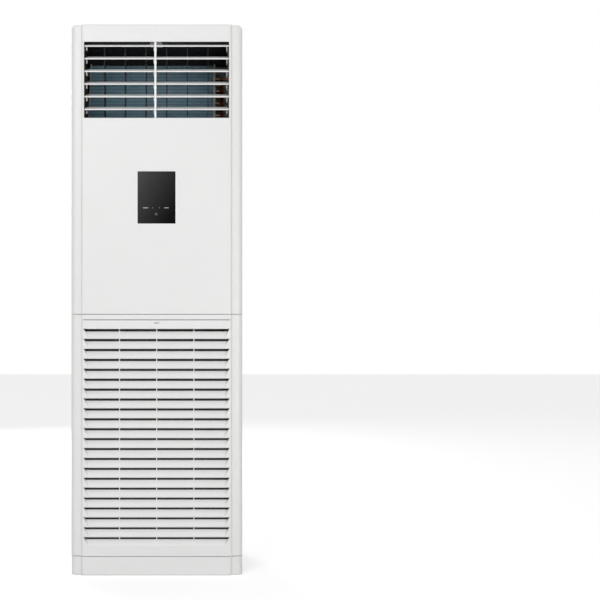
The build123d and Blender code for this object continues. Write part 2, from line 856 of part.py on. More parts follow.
def display_board():
    half = display_width / 2 - display_board_margin
    half_tall = display_height / 2 - display_board_margin
    y = inner_y + display_board_behind_glass
    z = (display_centre_height - half_tall, display_centre_height + half_tall)
    return block((-half, half), (y, y + board_thickness), z)


def on_coil(shape):
    # From the coil's own frame (Z up its slope, Y through its depth) to its place.
    return Pos(0, coil_foot_y, coil_foot_height) * Rot(-coil_tilt, 0, 0) * shape


def coil_point(depth, height):
    # The Y and Z in the cabinet of a point in the coil's own frame.
    angle = math.radians(coil_tilt)
    y = coil_foot_y + depth * math.cos(angle) + height * math.sin(angle)
    z = coil_foot_height - depth * math.sin(angle) + height * math.cos(angle)
    return y, z


def coil_tube_places():
    # Front and rear tube of each pair, staggered by half a spacing.
    row_gap = coil_tube_spacing * math.sin(math.radians(coil_tube_stagger))
    front = coil_depth / 2 - row_gap / 2
    pairs = []
    for k in range(coil_row_count):
        height = coil_first_tube + coil_tube_spacing * k
        pairs.append(((front, height), (front + row_gap, height + coil_tube_spacing / 2)))
    return pairs


def coil_tube_cutters(x):
    holes = []
    for pair in coil_tube_places():
        for y, z in pair:
            holes.append(rod_x(x, y, z, coil_tube_radius))
    return holes


def coil_fins():
    # Thin upright fins, evenly spaced between the end plates, with the tubes' holes.
    pitch = (coil_right - coil_left) / fin_count
    fin_x = (coil_left + (pitch - fin_thickness) / 2, coil_left + (pitch + fin_thickness) / 2)
    fin = block(fin_x, (0, coil_depth), (0, coil_length)) - coil_tube_cutters(fin_x)
    return group([on_coil(Pos(pitch * k, 0, 0) * fin) for k in range(fin_count)])


def coil_end_plate(x):
    margin = coil_plate_margin
    y = (-margin, coil_depth + margin)
    body = block(x, y, (-margin, coil_length + margin))
    return on_coil(body - coil_tube_cutters(x))


def coil_end_plates():
    left = coil_end_plate((coil_left - coil_plate, coil_left))
    right = coil_end_plate((coil_right, coil_right + coil_plate))
    return group([left, right])


def tube_bend(start, end, x, side):
    # A half turn of tube from one tube end to the next, bulging towards side.
    radius = math.hypot(end[0] - start[0], end[1] - start[1]) / 2
    angle = math.degrees(math.atan2(end[1] - start[1], end[0] - start[0]))
    wall = Circle(coil_tube_radius) - Circle(coil_tube_radius - coil_tube_wall)
    bend = revolve(Plane.YZ * Pos(-radius, 0) * wall, Axis.Z, 180 * side)
    middle_y = (start[0] + end[0]) / 2
    middle_z = (start[1] + end[1]) / 2
    return Pos(x, middle_y, middle_z) * Rot(angle, 0, 0) * bend


def coil_hairpins():
    left = coil_left - coil_plate - cut_room
    right = coil_right + coil_plate + cut_room
    hairpins = []
    for front, rear in coil_tube_places():
        hairpin = tube_bend(front, rear, left, -1)
        for y, z in (front, rear):
            leg = rod_x((left, right), y, z, coil_tube_radius)
            hairpin += leg - rod_x((left, right), y, z, coil_tube_radius - coil_tube_wall)
        hairpins.append(on_coil(hairpin))
    return group(hairpins)


def coil_return_bends():
    # Each bend stands off the end plate on two short legs.
    right = coil_right + coil_plate + cut_room
    leg_x = (right, right + coil_bend_reach)
    places = coil_tube_places()
    bends = []
    for k in range(coil_row_count - 1):
        ends = (places[k][1], places[k + 1][0])
        bend = tube_bend(*ends, leg_x[1], 1)
        for y, z in ends:
            leg = rod_x(leg_x, y, z, coil_tube_radius)
            bend += leg - rod_x(leg_x, y, z, coil_tube_radius - coil_tube_wall)
        bends.append(on_coil(bend))
    return group(bends)


def pipe_along(points, bend_radius, radius, wall):
    # A pipe through the points, with a wall, swept along straight runs and tangent bends.
    path = FilletPolyline(*points, radius=bend_radius)
    start = Plane(origin=path @ 0, z_dir=path % 0)
    section = start * (Circle(radius) - Circle(radius - wall))
    return sweep(section, path=path)


def gas_pipe():
    front_tube = coil_tube_places()[0][0]
    y, z = coil_point(*front_tube)
    x = coil_right + coil_plate + cut_room
    neck = rod_x((x, gas_pipe_x - gas_bend_radius), y, z, coil_tube_radius)
    start_x = gas_pipe_x - gas_bend_radius - gas_pipe_radius
    points = [(start_x, y, z), (gas_pipe_x, y, z), (gas_pipe_x, gas_pipe_y, z)]
    points.append((gas_pipe_x, gas_pipe_y, pipe_end_height))
    pipe = pipe_along(points, gas_bend_radius, gas_pipe_radius, pipe_wall)
    cap = rod_x((start_x - pipe_wall, start_x), y, z, gas_pipe_radius)
    return pipe + cap + (neck & block((0, start_x), (front_y, rear_y), (0, cabinet_height)))


def liquid_pipe():
    rear_tube = coil_tube_places()[-1][1]
    y, z = coil_point(*rear_tube)
    x = coil_right + coil_plate + cut_room
    points = [(x, y, z), (liquid_pipe_x, y, z), (liquid_pipe_x, y, pipe_end_height)]
    return pipe_along(points, liquid_bend_radius, liquid_pipe_radius, pipe_wall)


def flare_union(x, y, nut_radius, thread_radius, bore):
    hexagon = Pos(x, y, pipe_end_height - union_hex_length) * extrude(
        RegularPolygon(nut_radius, 6), union_hex_length
    )
    thread_top = pipe_end_height - union_hex_length
    body = hexagon + rod_z(x, y, (thread_top - union_thread_length, thread_top), thread_radius)
    return body - rod_z(x, y, (thread_top - union_thread_length, pipe_end_height), bore)


def liquid_pipe_y():
    return coil_point(*coil_tube_places()[-1][1])[0]


def flare_unions():
    gas_bore = gas_pipe_radius - pipe_wall
    gas = flare_union(gas_pipe_x, gas_pipe_y, gas_nut_radius, gas_thread_radius, gas_bore)
    bore = liquid_pipe_radius - pipe_wall
    liquid = flare_union(liquid_pipe_x, liquid_pipe_y(), liquid_nut_radius, liquid_thread_radius, bore)
    return group([gas, liquid])


def drain_pan():
    top = pan_bottom + pan_height
    inner_half = pan_half - pan_wall
    body = block((-pan_half, pan_half), (pan_front_y, pan_back_y), (pan_bottom, top))
    room_y = (pan_front_y + pan_wall, pan_back_y - pan_wall)
    body -= block((-inner_half, inner_half), room_y, (pan_bottom + pan_wall, top + cut_room))
    outlet_z = (pan_bottom - cut_room, pan_bottom + pan_wall + cut_room)
    return body - rod_z(drain_x, drain_y, outlet_z, drain_radius - drain_wall)


def drain_pipe():
    points = [
        (drain_x, drain_y, pan_bottom),
        (drain_x, drain_y, drain_turn_height),
        (drain_x, drain_back_y, drain_turn_height),
        (drain_x, drain_back_y, drain_end_height),
    ]
    pipe = pipe_along(points, drain_bend_radius, drain_radius, drain_wall)
    spigot_z = (drain_end_height, drain_end_height + drain_spigot_length)
    spigot = rod_z(drain_x, drain_back_y, spigot_z, drain_spigot_radius)
    return pipe + (spigot - rod_z(drain_x, drain_back_y, spigot_z, drain_radius - drain_wall))


def duct_liner():
    # Foam lining on both sides and over the top of the outlet chamber, with a ridge down to the coil.
    outer = liner_inner_x + liner_wall
    inner = liner_inner_x
    top = top_cover_bottom - cut_room
    y = (frame_back_y + cut_room, rear_panel_y - screw_length - cut_room)
    body = block((-outer, outer), y, (liner_bottom, top))
    body -= block((-inner, inner), y, (liner_bottom, top - liner_top_wall))
    ridge_y, ridge_z = coil_point(coil_depth / 2, coil_length + coil_plate_margin)
    ridge_span = (ridge_y - liner_wall / 2, ridge_y + liner_wall / 2)
    ridge_low = ridge_z + coil_plate_margin
    return body + block((-inner, inner), ridge_span, (ridge_low, top - liner_top_wall))


def base_pan():
    half = sheet_inner_x - base_side_gap
    y = (sheet_front_y + sheet + base_side_gap, rear_panel_y - 2 * sheet - base_side_gap)
    body = block((-half, half), y, (0, base_wall))
    inner = half - base_sheet
    inner_y_span = (y[0] + base_sheet, y[1] - base_sheet)
    body -= block((-inner, inner), inner_y_span, (base_sheet, base_wall + cut_room))
    middle_y = (y[0] + y[1]) / 2
    for side_x in (-1, 1):
        for side_y in (-1, 1):
            place = Pos(side_x * bolt_span_x / 2, middle_y + side_y * bolt_span_y / 2, -cut_room)
            slot = extrude(SlotOverall(bolt_slot_length, bolt_slot_width), base_sheet + 2 * cut_room)
            body -= place * slot
    return body - pipe_exits()


def pipe_exits():
    # Round openings in the base pan below both unions and the drain, each wider than its fitting.
    through = (-cut_room, base_sheet + cut_room)
    gas = rod_z(gas_pipe_x, gas_pipe_y, through, gas_nut_radius + pipe_exit_room)
    liquid = rod_z(liquid_pipe_x, liquid_pipe_y(), through, liquid_nut_radius + pipe_exit_room)
    drain = rod_z(drain_x, drain_back_y, through, drain_spigot_radius + pipe_exit_room)
    return [gas, liquid, drain]


def side_panel(side):
    # Sheet steel side with a front and a rear flange.
    top = top_cover_bottom - fit_gap
    z = (sheet, top)
    flat_x = sorted((side * sheet_inner_x, side * half_width))
    flange_x = sorted((side * (sheet_inner_x - sheet_flange), side * half_width))
    body = block(flat_x, (sheet_front_y, rear_y), z)
    body += block(flange_x, (sheet_front_y, sheet_front_y + sheet), z)
    rear_flange_y = (rear_panel_y - 2 * sheet, rear_panel_y - sheet)
    body += block(flange_x, rear_flange_y, z)
    return body - [screw_hole(x, height) for x, height in rear_screw_places()]


def rear_screw_places():
    x = sheet_inner_x - sheet_flange / 2
    low = base_wall + sheet_flange
    step = (top_cover_bottom - 2 * sheet_flange - low) / (screws_per_side - 1)
    return [(side * x, low + step * k) for side in (-1, 1) for k in range(screws_per_side)]


def screw_hole(x, height):
    return rod_y(x, (rear_panel_y - screw_length, rear_y), height, screw_radius)


def rear_panel():
    half = sheet_inner_x - fit_gap
    top = top_cover_bottom - fit_gap
    y = (rear_panel_y - sheet, rear_panel_y)
    body = block((-half, half), y, (sheet, top))
    body -= [screw_hole(x, height) for x, height in rear_screw_places()]
    body -= rod_y(port_x, y, port_height, port_radius)
    body -= rod_y(gland_x, y, gland_height, gland_radius)
    for side in (-1, 1):
        body -= rod_y(side * strap_span / 2, y, strap_height, strap_hole_radius)
    return body


def casing_screws():
    screws = []
    for x, height in rear_screw_places():
        screw = rod_y(x, (rear_panel_y, rear_panel_y + screw_head_height), height, screw_head_radius)
        screw += rod_y(x, (rear_panel_y - screw_length, rear_panel_y), height, screw_radius)
        screws.append(screw)
    return group(screws)


def top_cover():
    y = (sheet_front_y, rear_y)
    outer = block((-half_width, half_width), y, (top_cover_bottom, cabinet_height)) & top_rounding(0)
    inner_y_span = (sheet_front_y - cut_room, rear_y - sheet)
    inner = block((-half_width, half_width), inner_y_span, (0, cabinet_height)) & top_rounding(sheet)
    return outer - inner


def front_rail():
    # Folded channel across the cabinet behind the seam of the two front panels.
    half = sheet_inner_x - 2 * rail_wall
    back = sheet_front_y - cut_room
    z = (rail_bottom, rail_bottom + rail_height)
    body = block((-half, half), (back - rail_depth, back), z)
    room_z = (rail_bottom + sheet, rail_bottom + rail_height - sheet)
    return body - block((-half, half), (back - rail_depth + sheet, back + cut_room), room_z)


def partition_plate():
    half = sheet_inner_x - fit_gap
    y = (sheet_front_y + 2 * sheet, rear_panel_y - 2 * sheet - fit_gap)
    z = (partition_height, partition_height + partition_sheet)
    body = block((-half, half), y, z)
    left, right = scroll_duct_span()
    body -= block((left, right), (scroll_front_y + scroll_wall, scroll_back_y - scroll_wall), z)
    body -= rod_z(gas_pipe_x, gas_pipe_y, z, gas_pipe_radius + pipe_hole_room)
    body -= rod_z(liquid_pipe_x, liquid_pipe_y(), z, liquid_pipe_radius + pipe_hole_room)
    return body - rod_z(drain_x, drain_back_y, z, drain_radius + pipe_hole_room)


def scroll_duct_span():
    # Inner left wall and tongue of the scroll, which are the sides of its outlet duct.
    left = -scroll_step / 2 - (scroll_radius + scroll_step)
    tongue_radius = scroll_radius - scroll_step
    right = scroll_step / 2 + tongue_radius * math.cos(math.radians(scroll_tongue_angle))
    return left, right


def scroll_room(offset):
    # The spiral air space in front view: three arcs of growing radius, then the duct straight up.
    half_step = scroll_step / 2
    first = scroll_radius - scroll_step - offset
    tongue = math.radians(scroll_tongue_angle)
    first_centre = (half_step, fan_height - half_step)
    tongue_point = (
        first_centre[0] + first * math.cos(tongue),
        first_centre[1] + first * math.sin(tongue),
    )
    half_tongue = (
        first_centre[0] + first * math.cos(tongue / 2),
        first_centre[1] + first * math.sin(tongue / 2),
    )
    second = scroll_radius - offset
    diagonal = math.sqrt(0.5)
    second_centre = (-half_step, fan_height - half_step)
    right_point = (second_centre[0] + second, second_centre[1])
    lower_right = (second_centre[0] + second * diagonal, second_centre[1] - second * diagonal)
    bottom_point = (second_centre[0], second_centre[1] - second)
    third = scroll_radius + scroll_step - offset
    third_centre = (-half_step, fan_height + half_step)
    lower_left = (third_centre[0] - third * diagonal, third_centre[1] - third * diagonal)
    left_point = (third_centre[0] - third, third_centre[1])
    duct_top = partition_height - fit_gap
    duct_right = tongue_point[0]
    outline = [
        ThreePointArc(tongue_point, half_tongue, right_point),
        ThreePointArc(right_point, lower_right, bottom_point),
        ThreePointArc(bottom_point, lower_left, left_point),
        Line(left_point, (left_point[0], duct_top)),
        Line((left_point[0], duct_top), (duct_right, duct_top)),
        Line((duct_right, duct_top), tongue_point),
    ]
    return make_face(Curve() + outline)


def scroll_shape(offset, y):
    sketch = Plane.XZ * scroll_room(offset)
    low, high = y
    return Pos(0, high, 0) * extrude(sketch, high - low)


def scroll_housing(y, plate_y, hole_radius):
    # One half of the spiral housing: its wall over y, closed by a plate with a round hole.
    body = scroll_shape(-scroll_wall, y) - scroll_shape(0, y)
    body += scroll_shape(-scroll_wall, plate_y)
    return body - rod_y(0, plate_y, fan_height, hole_radius)


def scroll_housing_front():
    plate_y = (scroll_front_y, scroll_front_y + scroll_wall)
    return scroll_housing((scroll_front_y, scroll_split_y), plate_y, scroll_eye_radius)


def scroll_housing_rear():
    plate_y = (scroll_back_y - scroll_wall, scroll_back_y)
    return scroll_housing((scroll_split_y, scroll_back_y), plate_y, scroll_motor_hole_radius)


def bellmouth_ring():
    # A flared ring in the scroll's eye that leads air into the wheel.
    flare = bellmouth_flare
    back = scroll_front_y
    front = back - bellmouth_wall
    outer = rod_y(0, (front, back), fan_height, scroll_eye_radius + bellmouth_flange)
    outer += rod_y(0, (back, back + flare), fan_height, scroll_eye_radius)
    centre = Plane.XY * Pos(scroll_eye_radius, front)
    profile = centre * (Circle(flare) & Pos(-flare / 2, flare / 2) * Rectangle(flare, flare))
    cone = revolve(profile, Axis.Y, 360)
    throat = rod_y(0, (-flare, 2 * flare), 0, scroll_eye_radius - cut_room / 2)
    throat = Pos(0, front, 0) * throat
    bell = Pos(0, 0, fan_height) * cone
    return (outer - Pos(0, 0, fan_height) * throat) + bell


def fan_wheel():
    # Back disc, leaning blades, two rim rings and the hub.
    y = (fan_front_y, fan_back_y)
    disc = rod_y(0, (fan_back_y - fan_disc, fan_back_y), 0, fan_radius)
    for ring_y in (fan_front_y, fan_back_y - fan_ring_depth):
        ring_span = (ring_y, ring_y + fan_ring_depth)
        ring = rod_y(0, ring_span, 0, fan_radius) - rod_y(0, ring_span, 0, fan_radius - fan_ring_wall)
        disc += ring
    disc += rod_y(0, (fan_back_y - fan_hub_depth, fan_back_y), 0, fan_hub_radius)
    blade_length = fan_blade_width / math.cos(math.radians(fan_blade_lean)) - fan_blade_thickness
    blade = block(
        (-fan_blade_thickness / 2, fan_blade_thickness / 2),
        y,
        (-blade_length / 2, blade_length / 2),
    )
    blade_reach = fan_radius - fan_blade_width / 2 - fan_blade_thickness
    blade = Pos(0, 0, blade_reach) * Rot(0, fan_blade_lean, 0) * blade
    turn = 360 / fan_blade_count
    wheel = disc + [Rot(0, turn * k, 0) * blade for k in range(fan_blade_count)]
    wheel -= rod_y(0, (fan_back_y - fan_hub_depth, fan_back_y), 0, fan_shaft_radius)
    return Pos(0, 0, fan_height) * wheel


def fan_shaft():
    return rod_y(0, (fan_shaft_front_y, motor_back_y), fan_height, fan_shaft_radius)


def hub_nut():
    back = fan_back_y - fan_hub_depth
    y = (back - hub_nut_depth, back)
    nut = Pos(0, y[1], fan_height) * extrude(Plane.XZ * RegularPolygon(hub_nut_radius, 6), hub_nut_depth)
    return nut - rod_y(0, y, fan_height, fan_shaft_radius)


def fan_motor():
    y = (motor_front_y, motor_back_y)
    body = rod_y(0, y, fan_height, motor_radius)
    return body - rod_y(0, y, fan_height, fan_shaft_radius + running_gap)


def motor_bracket():
    # A band round the motor on four legs whose feet stand on the scroll's rear plate.
    band_y = (motor_front_y + fit_gap, motor_front_y + motor_band_depth)
    outer = motor_radius + motor_band_wall
    band = rod_y(0, band_y, 0, outer)
    leg = block(
        (-motor_leg_width / 2, motor_leg_width / 2),
        (motor_front_y + fit_gap, motor_front_y + 2 * motor_band_wall),
        (motor_radius, motor_leg_reach),
    )
    foot = block(
        (-motor_leg_width / 2, motor_leg_width / 2),
        (scroll_back_y, motor_front_y + 2 * motor_band_wall),
        (motor_leg_reach - motor_leg_width, motor_leg_reach),
    )
    turn = 360 / motor_leg_count
    legs = [Rot(0, turn * (k + 0.5), 0) * (leg + foot) for k in range(motor_leg_count)]
    bracket = band + legs
    return Pos(0, 0, fan_height) * (bracket - rod_y(0, band_y, 0, motor_radius))


def electric_box():
    low = rail_bottom + rail_height
    z = (low, low + box_height)
    body = block((box_left, box_right), (box_front_y, box_back_y), z)
    room_x = (box_left + box_wall, box_right - box_wall)
    room_y = (box_front_y - cut_room, box_back_y - box_wall)
    return body - block(room_x, room_y, (low + box_wall, low + box_height - box_wall))


def electric_box_cover():
    low = rail_bottom + rail_height
    y = (box_front_y - box_wall, box_front_y)
    return block((box_left, box_right), y, (low, low + box_height))


def control_board():
    # The board with a row of relays and capacitors along its lower edge.
    back = box_back_y - box_wall
    low = rail_bottom + rail_height + board_stand
    left = box_left + board_stand
    y = (back - board_stand, back - board_stand + board_thickness)
    body = block((left, left + board_width), y, (low, low + board_height))
    step = board_width / board_parts
    for k in range(board_parts):
        start = left + step * k + board_part_size / 2
        part_x = (start, start + board_part_size)
        part_z = (low + board_part_size, low + 2 * board_part_size)
        body += block(part_x, (y[0] - board_part_size, y[0]), part_z)
    for z in (low + board_stand, low + board_height - board_stand):
        for x in (left + board_stand, left + board_width - board_stand):
            body += rod_y(x, (y[1], back), z, board_stand / 2)
    return body


def terminal_block():
    back = box_back_y - box_wall
    low = rail_bottom + rail_height + board_stand
    right = box_right - board_stand
    y = (back - terminal_depth, back)
    body = block((right - terminal_width, right), y, (low, low + terminal_height))
    step = terminal_width / terminal_ways
    for k in range(terminal_ways):
        middle = right - step * (k + 0.5)
        hole_y = (y[0], y[0] + terminal_depth / 2)
        body -= rod_y(middle, hole_y, low + terminal_height / 2, terminal_hole_radius)
    return body


def run_capacitor():
    back = box_back_y - box_wall
    low = rail_bottom + rail_height + board_stand + terminal_height + board_stand
    x = box_right - board_stand - capacitor_radius
    z = (low, low + capacitor_height)
    body = rod_z(x, back - capacitor_radius, z, capacitor_radius)
    return body & block((x - terminal_width, box_right), (box_front_y, back), z)


def coil_sensor():
    front_tube = coil_tube_places()[coil_row_count // 2][0]
    y = front_tube[0] - coil_tube_radius - sensor_radius
    x = coil_right + coil_plate
    return on_coil(rod_x((x, x + sensor_length), y, front_tube[1], sensor_radius))


def room_sensor():
    # An air probe in front of the scroll, hung from the front rail.
    back = sheet_front_y - cut_room - rail_depth
    z = (rail_bottom - sensor_length, rail_bottom)
    return rod_z(0, back + 2 * sensor_radius, z, sensor_radius)


def temperature_sensors():
    return group([coil_sensor(), room_sensor()])


def pipe_port_cover():
    lip_radius = port_radius - fit_gap
    plate_y = (rear_panel_y, rear_panel_y + port_cover_thickness)
    cover = rod_y(port_x, plate_y, port_height, port_radius + port_lip)
    cover += rod_y(port_x, (rear_panel_y - port_lip, rear_panel_y), port_height, lip_radius)
    room = (rear_panel_y - port_lip, rear_panel_y)
    return cover - rod_y(port_x, room, port_height, lip_radius - port_cover_thickness)


def cable_gland():
    flange_y = (rear_panel_y, rear_panel_y + gland_flange_thickness)
    body = rod_y(gland_x, flange_y, gland_height, gland_flange_radius)
    barrel_y = (rear_panel_y + gland_flange_thickness - gland_length, rear_panel_y)
    body += rod_y(gland_x, barrel_y, gland_height, gland_radius - running_gap)
    return body - rod_y(gland_x, (barrel_y[0], flange_y[1]), gland_height, gland_bore_radius)


parts = {
    "upper_front_panel": upper_front_panel(),
    "plinth": plinth(),
    "panel_hinge_pins": panel_hinge_pins(),
    "panel_catches": panel_catches(),
    "intake_panel": intake_panel(),
    "filter_frame": filter_frame(),
    "filter_mesh": filter_mesh(),
    "outlet_frame": outlet_frame(),
    "slat_link_bar": slat_link_bar(),
    "vane_link_bar": vane_link_bar(),
    "swing_motor": swing_motor(),
    "display_glass": display_glass(),
    "display_tray": display_tray(),
    "display_board": display_board(),
    "coil_fins": coil_fins(),
    "coil_end_plates": coil_end_plates(),
    "coil_hairpins": coil_hairpins(),
    "coil_return_bends": coil_return_bends(),
    "temperature_sensors": temperature_sensors(),
    "gas_pipe": gas_pipe(),
    "liquid_pipe": liquid_pipe(),
    "flare_unions": flare_unions(),
    "drain_pan": drain_pan(),
    "drain_pipe": drain_pipe(),
    "duct_liner": duct_liner(),
    "base_pan": base_pan(),
    "left_side_panel": side_panel(-1),
    "right_side_panel": side_panel(1),
    "rear_panel": rear_panel(),
    "top_cover": top_cover(),
    "casing_screws": casing_screws(),
    "front_rail": front_rail(),
    "partition_plate": partition_plate(),
    "scroll_housing_front": scroll_housing_front(),
    "scroll_housing_rear": scroll_housing_rear(),
    "bellmouth_ring": bellmouth_ring(),
    "fan_wheel": fan_wheel(),
    "fan_shaft": fan_shaft(),
    "hub_nut": hub_nut(),
    "fan_motor": fan_motor(),
    "motor_bracket": motor_bracket(),
    "electric_box": electric_box(),
    "electric_box_cover": electric_box_cover(),
    "control_board": control_board(),
    "terminal_block": terminal_block(),
    "run_capacitor": run_capacitor(),
    "pipe_port_cover": pipe_port_cover(),
    "cable_gland": cable_gland(),
}
for number, height in enumerate(slat_heights, start=1):
    parts[f"slat_{number}"] = slat(height)
for number, x in enumerate(vane_places, start=1):
    drive_length = swing_motor_height / 2 - cut_room if number == 1 else 0
    parts[f"vane_{number}"] = vane(x, drive_length)

os.makedirs("parts", exist_ok=True)
for name, shape in parts.items():
    export_step(shape, f"parts/{name}.step")
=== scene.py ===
import json
import math
import bpy
import bmesh
from mathutils import Matrix, Vector


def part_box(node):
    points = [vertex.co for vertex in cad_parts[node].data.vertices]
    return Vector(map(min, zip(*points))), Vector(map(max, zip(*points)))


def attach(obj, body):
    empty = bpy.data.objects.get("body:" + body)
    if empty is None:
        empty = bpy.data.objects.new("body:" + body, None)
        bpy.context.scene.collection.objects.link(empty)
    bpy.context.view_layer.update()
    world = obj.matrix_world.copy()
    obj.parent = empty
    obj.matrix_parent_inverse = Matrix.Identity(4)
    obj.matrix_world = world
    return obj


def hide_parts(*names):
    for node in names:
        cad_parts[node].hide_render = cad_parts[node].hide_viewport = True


# Floor standing air conditioner. Metres, Z up, front towards -Y.

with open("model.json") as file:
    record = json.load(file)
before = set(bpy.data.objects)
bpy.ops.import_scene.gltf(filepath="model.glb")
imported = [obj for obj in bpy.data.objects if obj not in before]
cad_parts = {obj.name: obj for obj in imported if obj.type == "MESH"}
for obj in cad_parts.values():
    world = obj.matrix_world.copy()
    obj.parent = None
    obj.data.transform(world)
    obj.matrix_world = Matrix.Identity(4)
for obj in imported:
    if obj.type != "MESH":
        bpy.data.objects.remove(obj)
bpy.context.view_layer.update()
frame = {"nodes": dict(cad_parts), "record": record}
print("frame loaded")

cabinet = {
    "trimEdge": 0.254,      # where the raised centre steps back to a side trim
    "frontY": -0.2,
    "mullion": -0.004,      # middle of the upright bar in the outlet
    "mullionReach": 0.02,   # to either side of that middle, past the bar's bosses
}


def addNode(tree, kind, **settings):
    node = tree.nodes.new(kind)
    for name, value in settings.items():
        setattr(node, name, value)
    return node


def mathNode(tree, operation, first, second=None, clamp=False):
    node = addNode(tree, "ShaderNodeMath", operation=operation, use_clamp=clamp)
    for socket, value in zip(node.inputs, (first, second)):
        if value is None:
            continue
        if isinstance(value, (int, float)):
            socket.default_value = value
        else:
            tree.links.new(value, socket)
    return node.outputs[0]


def mixColour(tree, mask, first, second):
    node = addNode(tree, "ShaderNodeMix", data_type="RGBA")
    tree.links.new(mask, node.inputs["Factor"])
    for socket, value in ((node.inputs[6], first), (node.inputs[7], second)):
        if isinstance(value, tuple):
            socket.default_value = (*value, 1)
        else:
            tree.links.new(value, socket)
    return node.outputs[2]


def spread(tree, value, low, high, newLow, newHigh):
    node = addNode(tree, "ShaderNodeMapRange")
    tree.links.new(value, node.inputs["Value"])
    node.inputs["From Min"].default_value = low
    node.inputs["From Max"].default_value = high
    node.inputs["To Min"].default_value = newLow
    node.inputs["To Max"].default_value = newHigh
    return node.outputs["Result"]


def within(tree, value, low, high):
    over = mathNode(tree, "GREATER_THAN", value, low)
    return mathNode(tree, "MULTIPLY", over, mathNode(tree, "LESS_THAN", value, high))


def objectPlace(tree):
    return addNode(tree, "ShaderNodeTexCoord").outputs["Object"]


def axesOf(tree, vector):
    parts = addNode(tree, "ShaderNodeSeparateXYZ")
    tree.links.new(vector, parts.inputs[0])
    return parts.outputs


def addNoise(tree, place, scale, detail=2):
    noise = addNode(tree, "ShaderNodeTexNoise")
    noise.inputs["Scale"].default_value = scale
    noise.inputs["Detail"].default_value = detail
    tree.links.new(place, noise.inputs["Vector"])
    return noise


def newGroup(name, inputs, outputs):
    tree = bpy.data.node_groups.new(name, "ShaderNodeTree")
    for socketName, value in inputs:
        socket = tree.interface.new_socket(
            name=socketName, in_out="INPUT", socket_type="NodeSocketFloat"
        )
        socket.default_value = value
    for socketName, kind in outputs:
        tree.interface.new_socket(name=socketName, in_out="OUTPUT", socket_type=kind)
    return tree, addNode(tree, "NodeGroupInput"), addNode(tree, "NodeGroupOutput")


grainLook = {"detail": 3, "roughness": 0.6, "mottleScale": 5, "mottleDetail": 4}


def makeGrainGroup():
    # Fine moulded or sprayed grain, and a slow mottling for gloss and colour
    tree, given, result = newGroup(
        "surfaceGrain",
        [("Scale", 900), ("Stretch", 1)],
        [("Height", "NodeSocketFloat"), ("Mottle", "NodeSocketFloat")],
    )
    place = objectPlace(tree)
    stretch = addNode(tree, "ShaderNodeCombineXYZ")
    stretch.inputs["X"].default_value = 1
    stretch.inputs["Y"].default_value = 1
    tree.links.new(given.outputs["Stretch"], stretch.inputs["Z"])
    drawn = addNode(tree, "ShaderNodeVectorMath", operation="MULTIPLY")
    tree.links.new(place, drawn.inputs[0])
    tree.links.new(stretch.outputs[0], drawn.inputs[1])
    fine = addNoise(tree, drawn.outputs[0], 1, grainLook["detail"])
    fine.inputs["Roughness"].default_value = grainLook["roughness"]
    tree.links.new(given.outputs["Scale"], fine.inputs["Scale"])
    slow = addNoise(tree, place, grainLook["mottleScale"], grainLook["mottleDetail"])
    tree.links.new(fine.outputs["Fac"], result.inputs["Height"])
    tree.links.new(slow.outputs["Fac"], result.inputs["Mottle"])
    return tree


def makeEdgeGroup():
    # Softened edge normal, and a mask that is 1 on sharp edges
    tree, given, result = newGroup(
        "edgeWearAndHighlight",
        [("Radius", 0.0006), ("Sharpness", 6)],
        [("Normal", "NodeSocketVector"), ("Edge", "NodeSocketFloat")],
    )
    rounded = addNode(tree, "ShaderNodeBevel", samples=4)
    tree.links.new(given.outputs["Radius"], rounded.inputs["Radius"])
    surface = addNode(tree, "ShaderNodeNewGeometry")
    same = addNode(tree, "ShaderNodeVectorMath", operation="DOT_PRODUCT")
    tree.links.new(rounded.outputs["Normal"], same.inputs[0])
    tree.links.new(surface.outputs["Normal"], same.inputs[1])
    turned = mathNode(tree, "SUBTRACT", 1.0, same.outputs["Value"])
    edge = mathNode(tree, "MULTIPLY", turned, given.outputs["Sharpness"], clamp=True)
    tree.links.new(rounded.outputs["Normal"], result.inputs["Normal"])
    tree.links.new(edge, result.inputs["Edge"])
    return tree


dustAndShadeLook = {"patchScale": 40, "facingDown": 0.4, "facingUp": 1}


def makeDustAndShadeGroup():
    # A mask that grows in corners and slots, more where the surface looks up: settled dust together with
    # painted shade from ambient occlusion
    tree, given, result = newGroup(
        "dustAndCornerShade",
        [("Reach", 0.02), ("Amount", 0.3)],
        [("DustAndShade", "NodeSocketFloat")],
    )
    near = addNode(tree, "ShaderNodeAmbientOcclusion", samples=4, only_local=True)
    tree.links.new(given.outputs["Reach"], near.inputs["Distance"])
    closed = mathNode(tree, "SUBTRACT", 1.0, near.outputs["AO"])
    normal = addNode(tree, "ShaderNodeNewGeometry").outputs["Normal"]
    upward = spread(tree, axesOf(tree, normal)["Z"], -1, 1, dustAndShadeLook["facingDown"], dustAndShadeLook["facingUp"])
    patch = addNoise(tree, objectPlace(tree), dustAndShadeLook["patchScale"])
    patchy = mathNode(tree, "MULTIPLY", upward, patch.outputs["Fac"])
    gathered = mathNode(tree, "MULTIPLY", closed, patchy)
    dustAndShade = mathNode(tree, "MULTIPLY", gathered, given.outputs["Amount"], clamp=True)
    tree.links.new(dustAndShade, result.inputs["DustAndShade"])
    return tree


groups = {"grain": makeGrainGroup(), "edge": makeEdgeGroup(), "dustAndShade": makeDustAndShadeGroup()}


def placeGroup(tree, name, **values):
    node = addNode(tree, "ShaderNodeGroup", node_tree=groups[name])
    for socketName, value in values.items():
        node.inputs[socketName].default_value = value
    return node
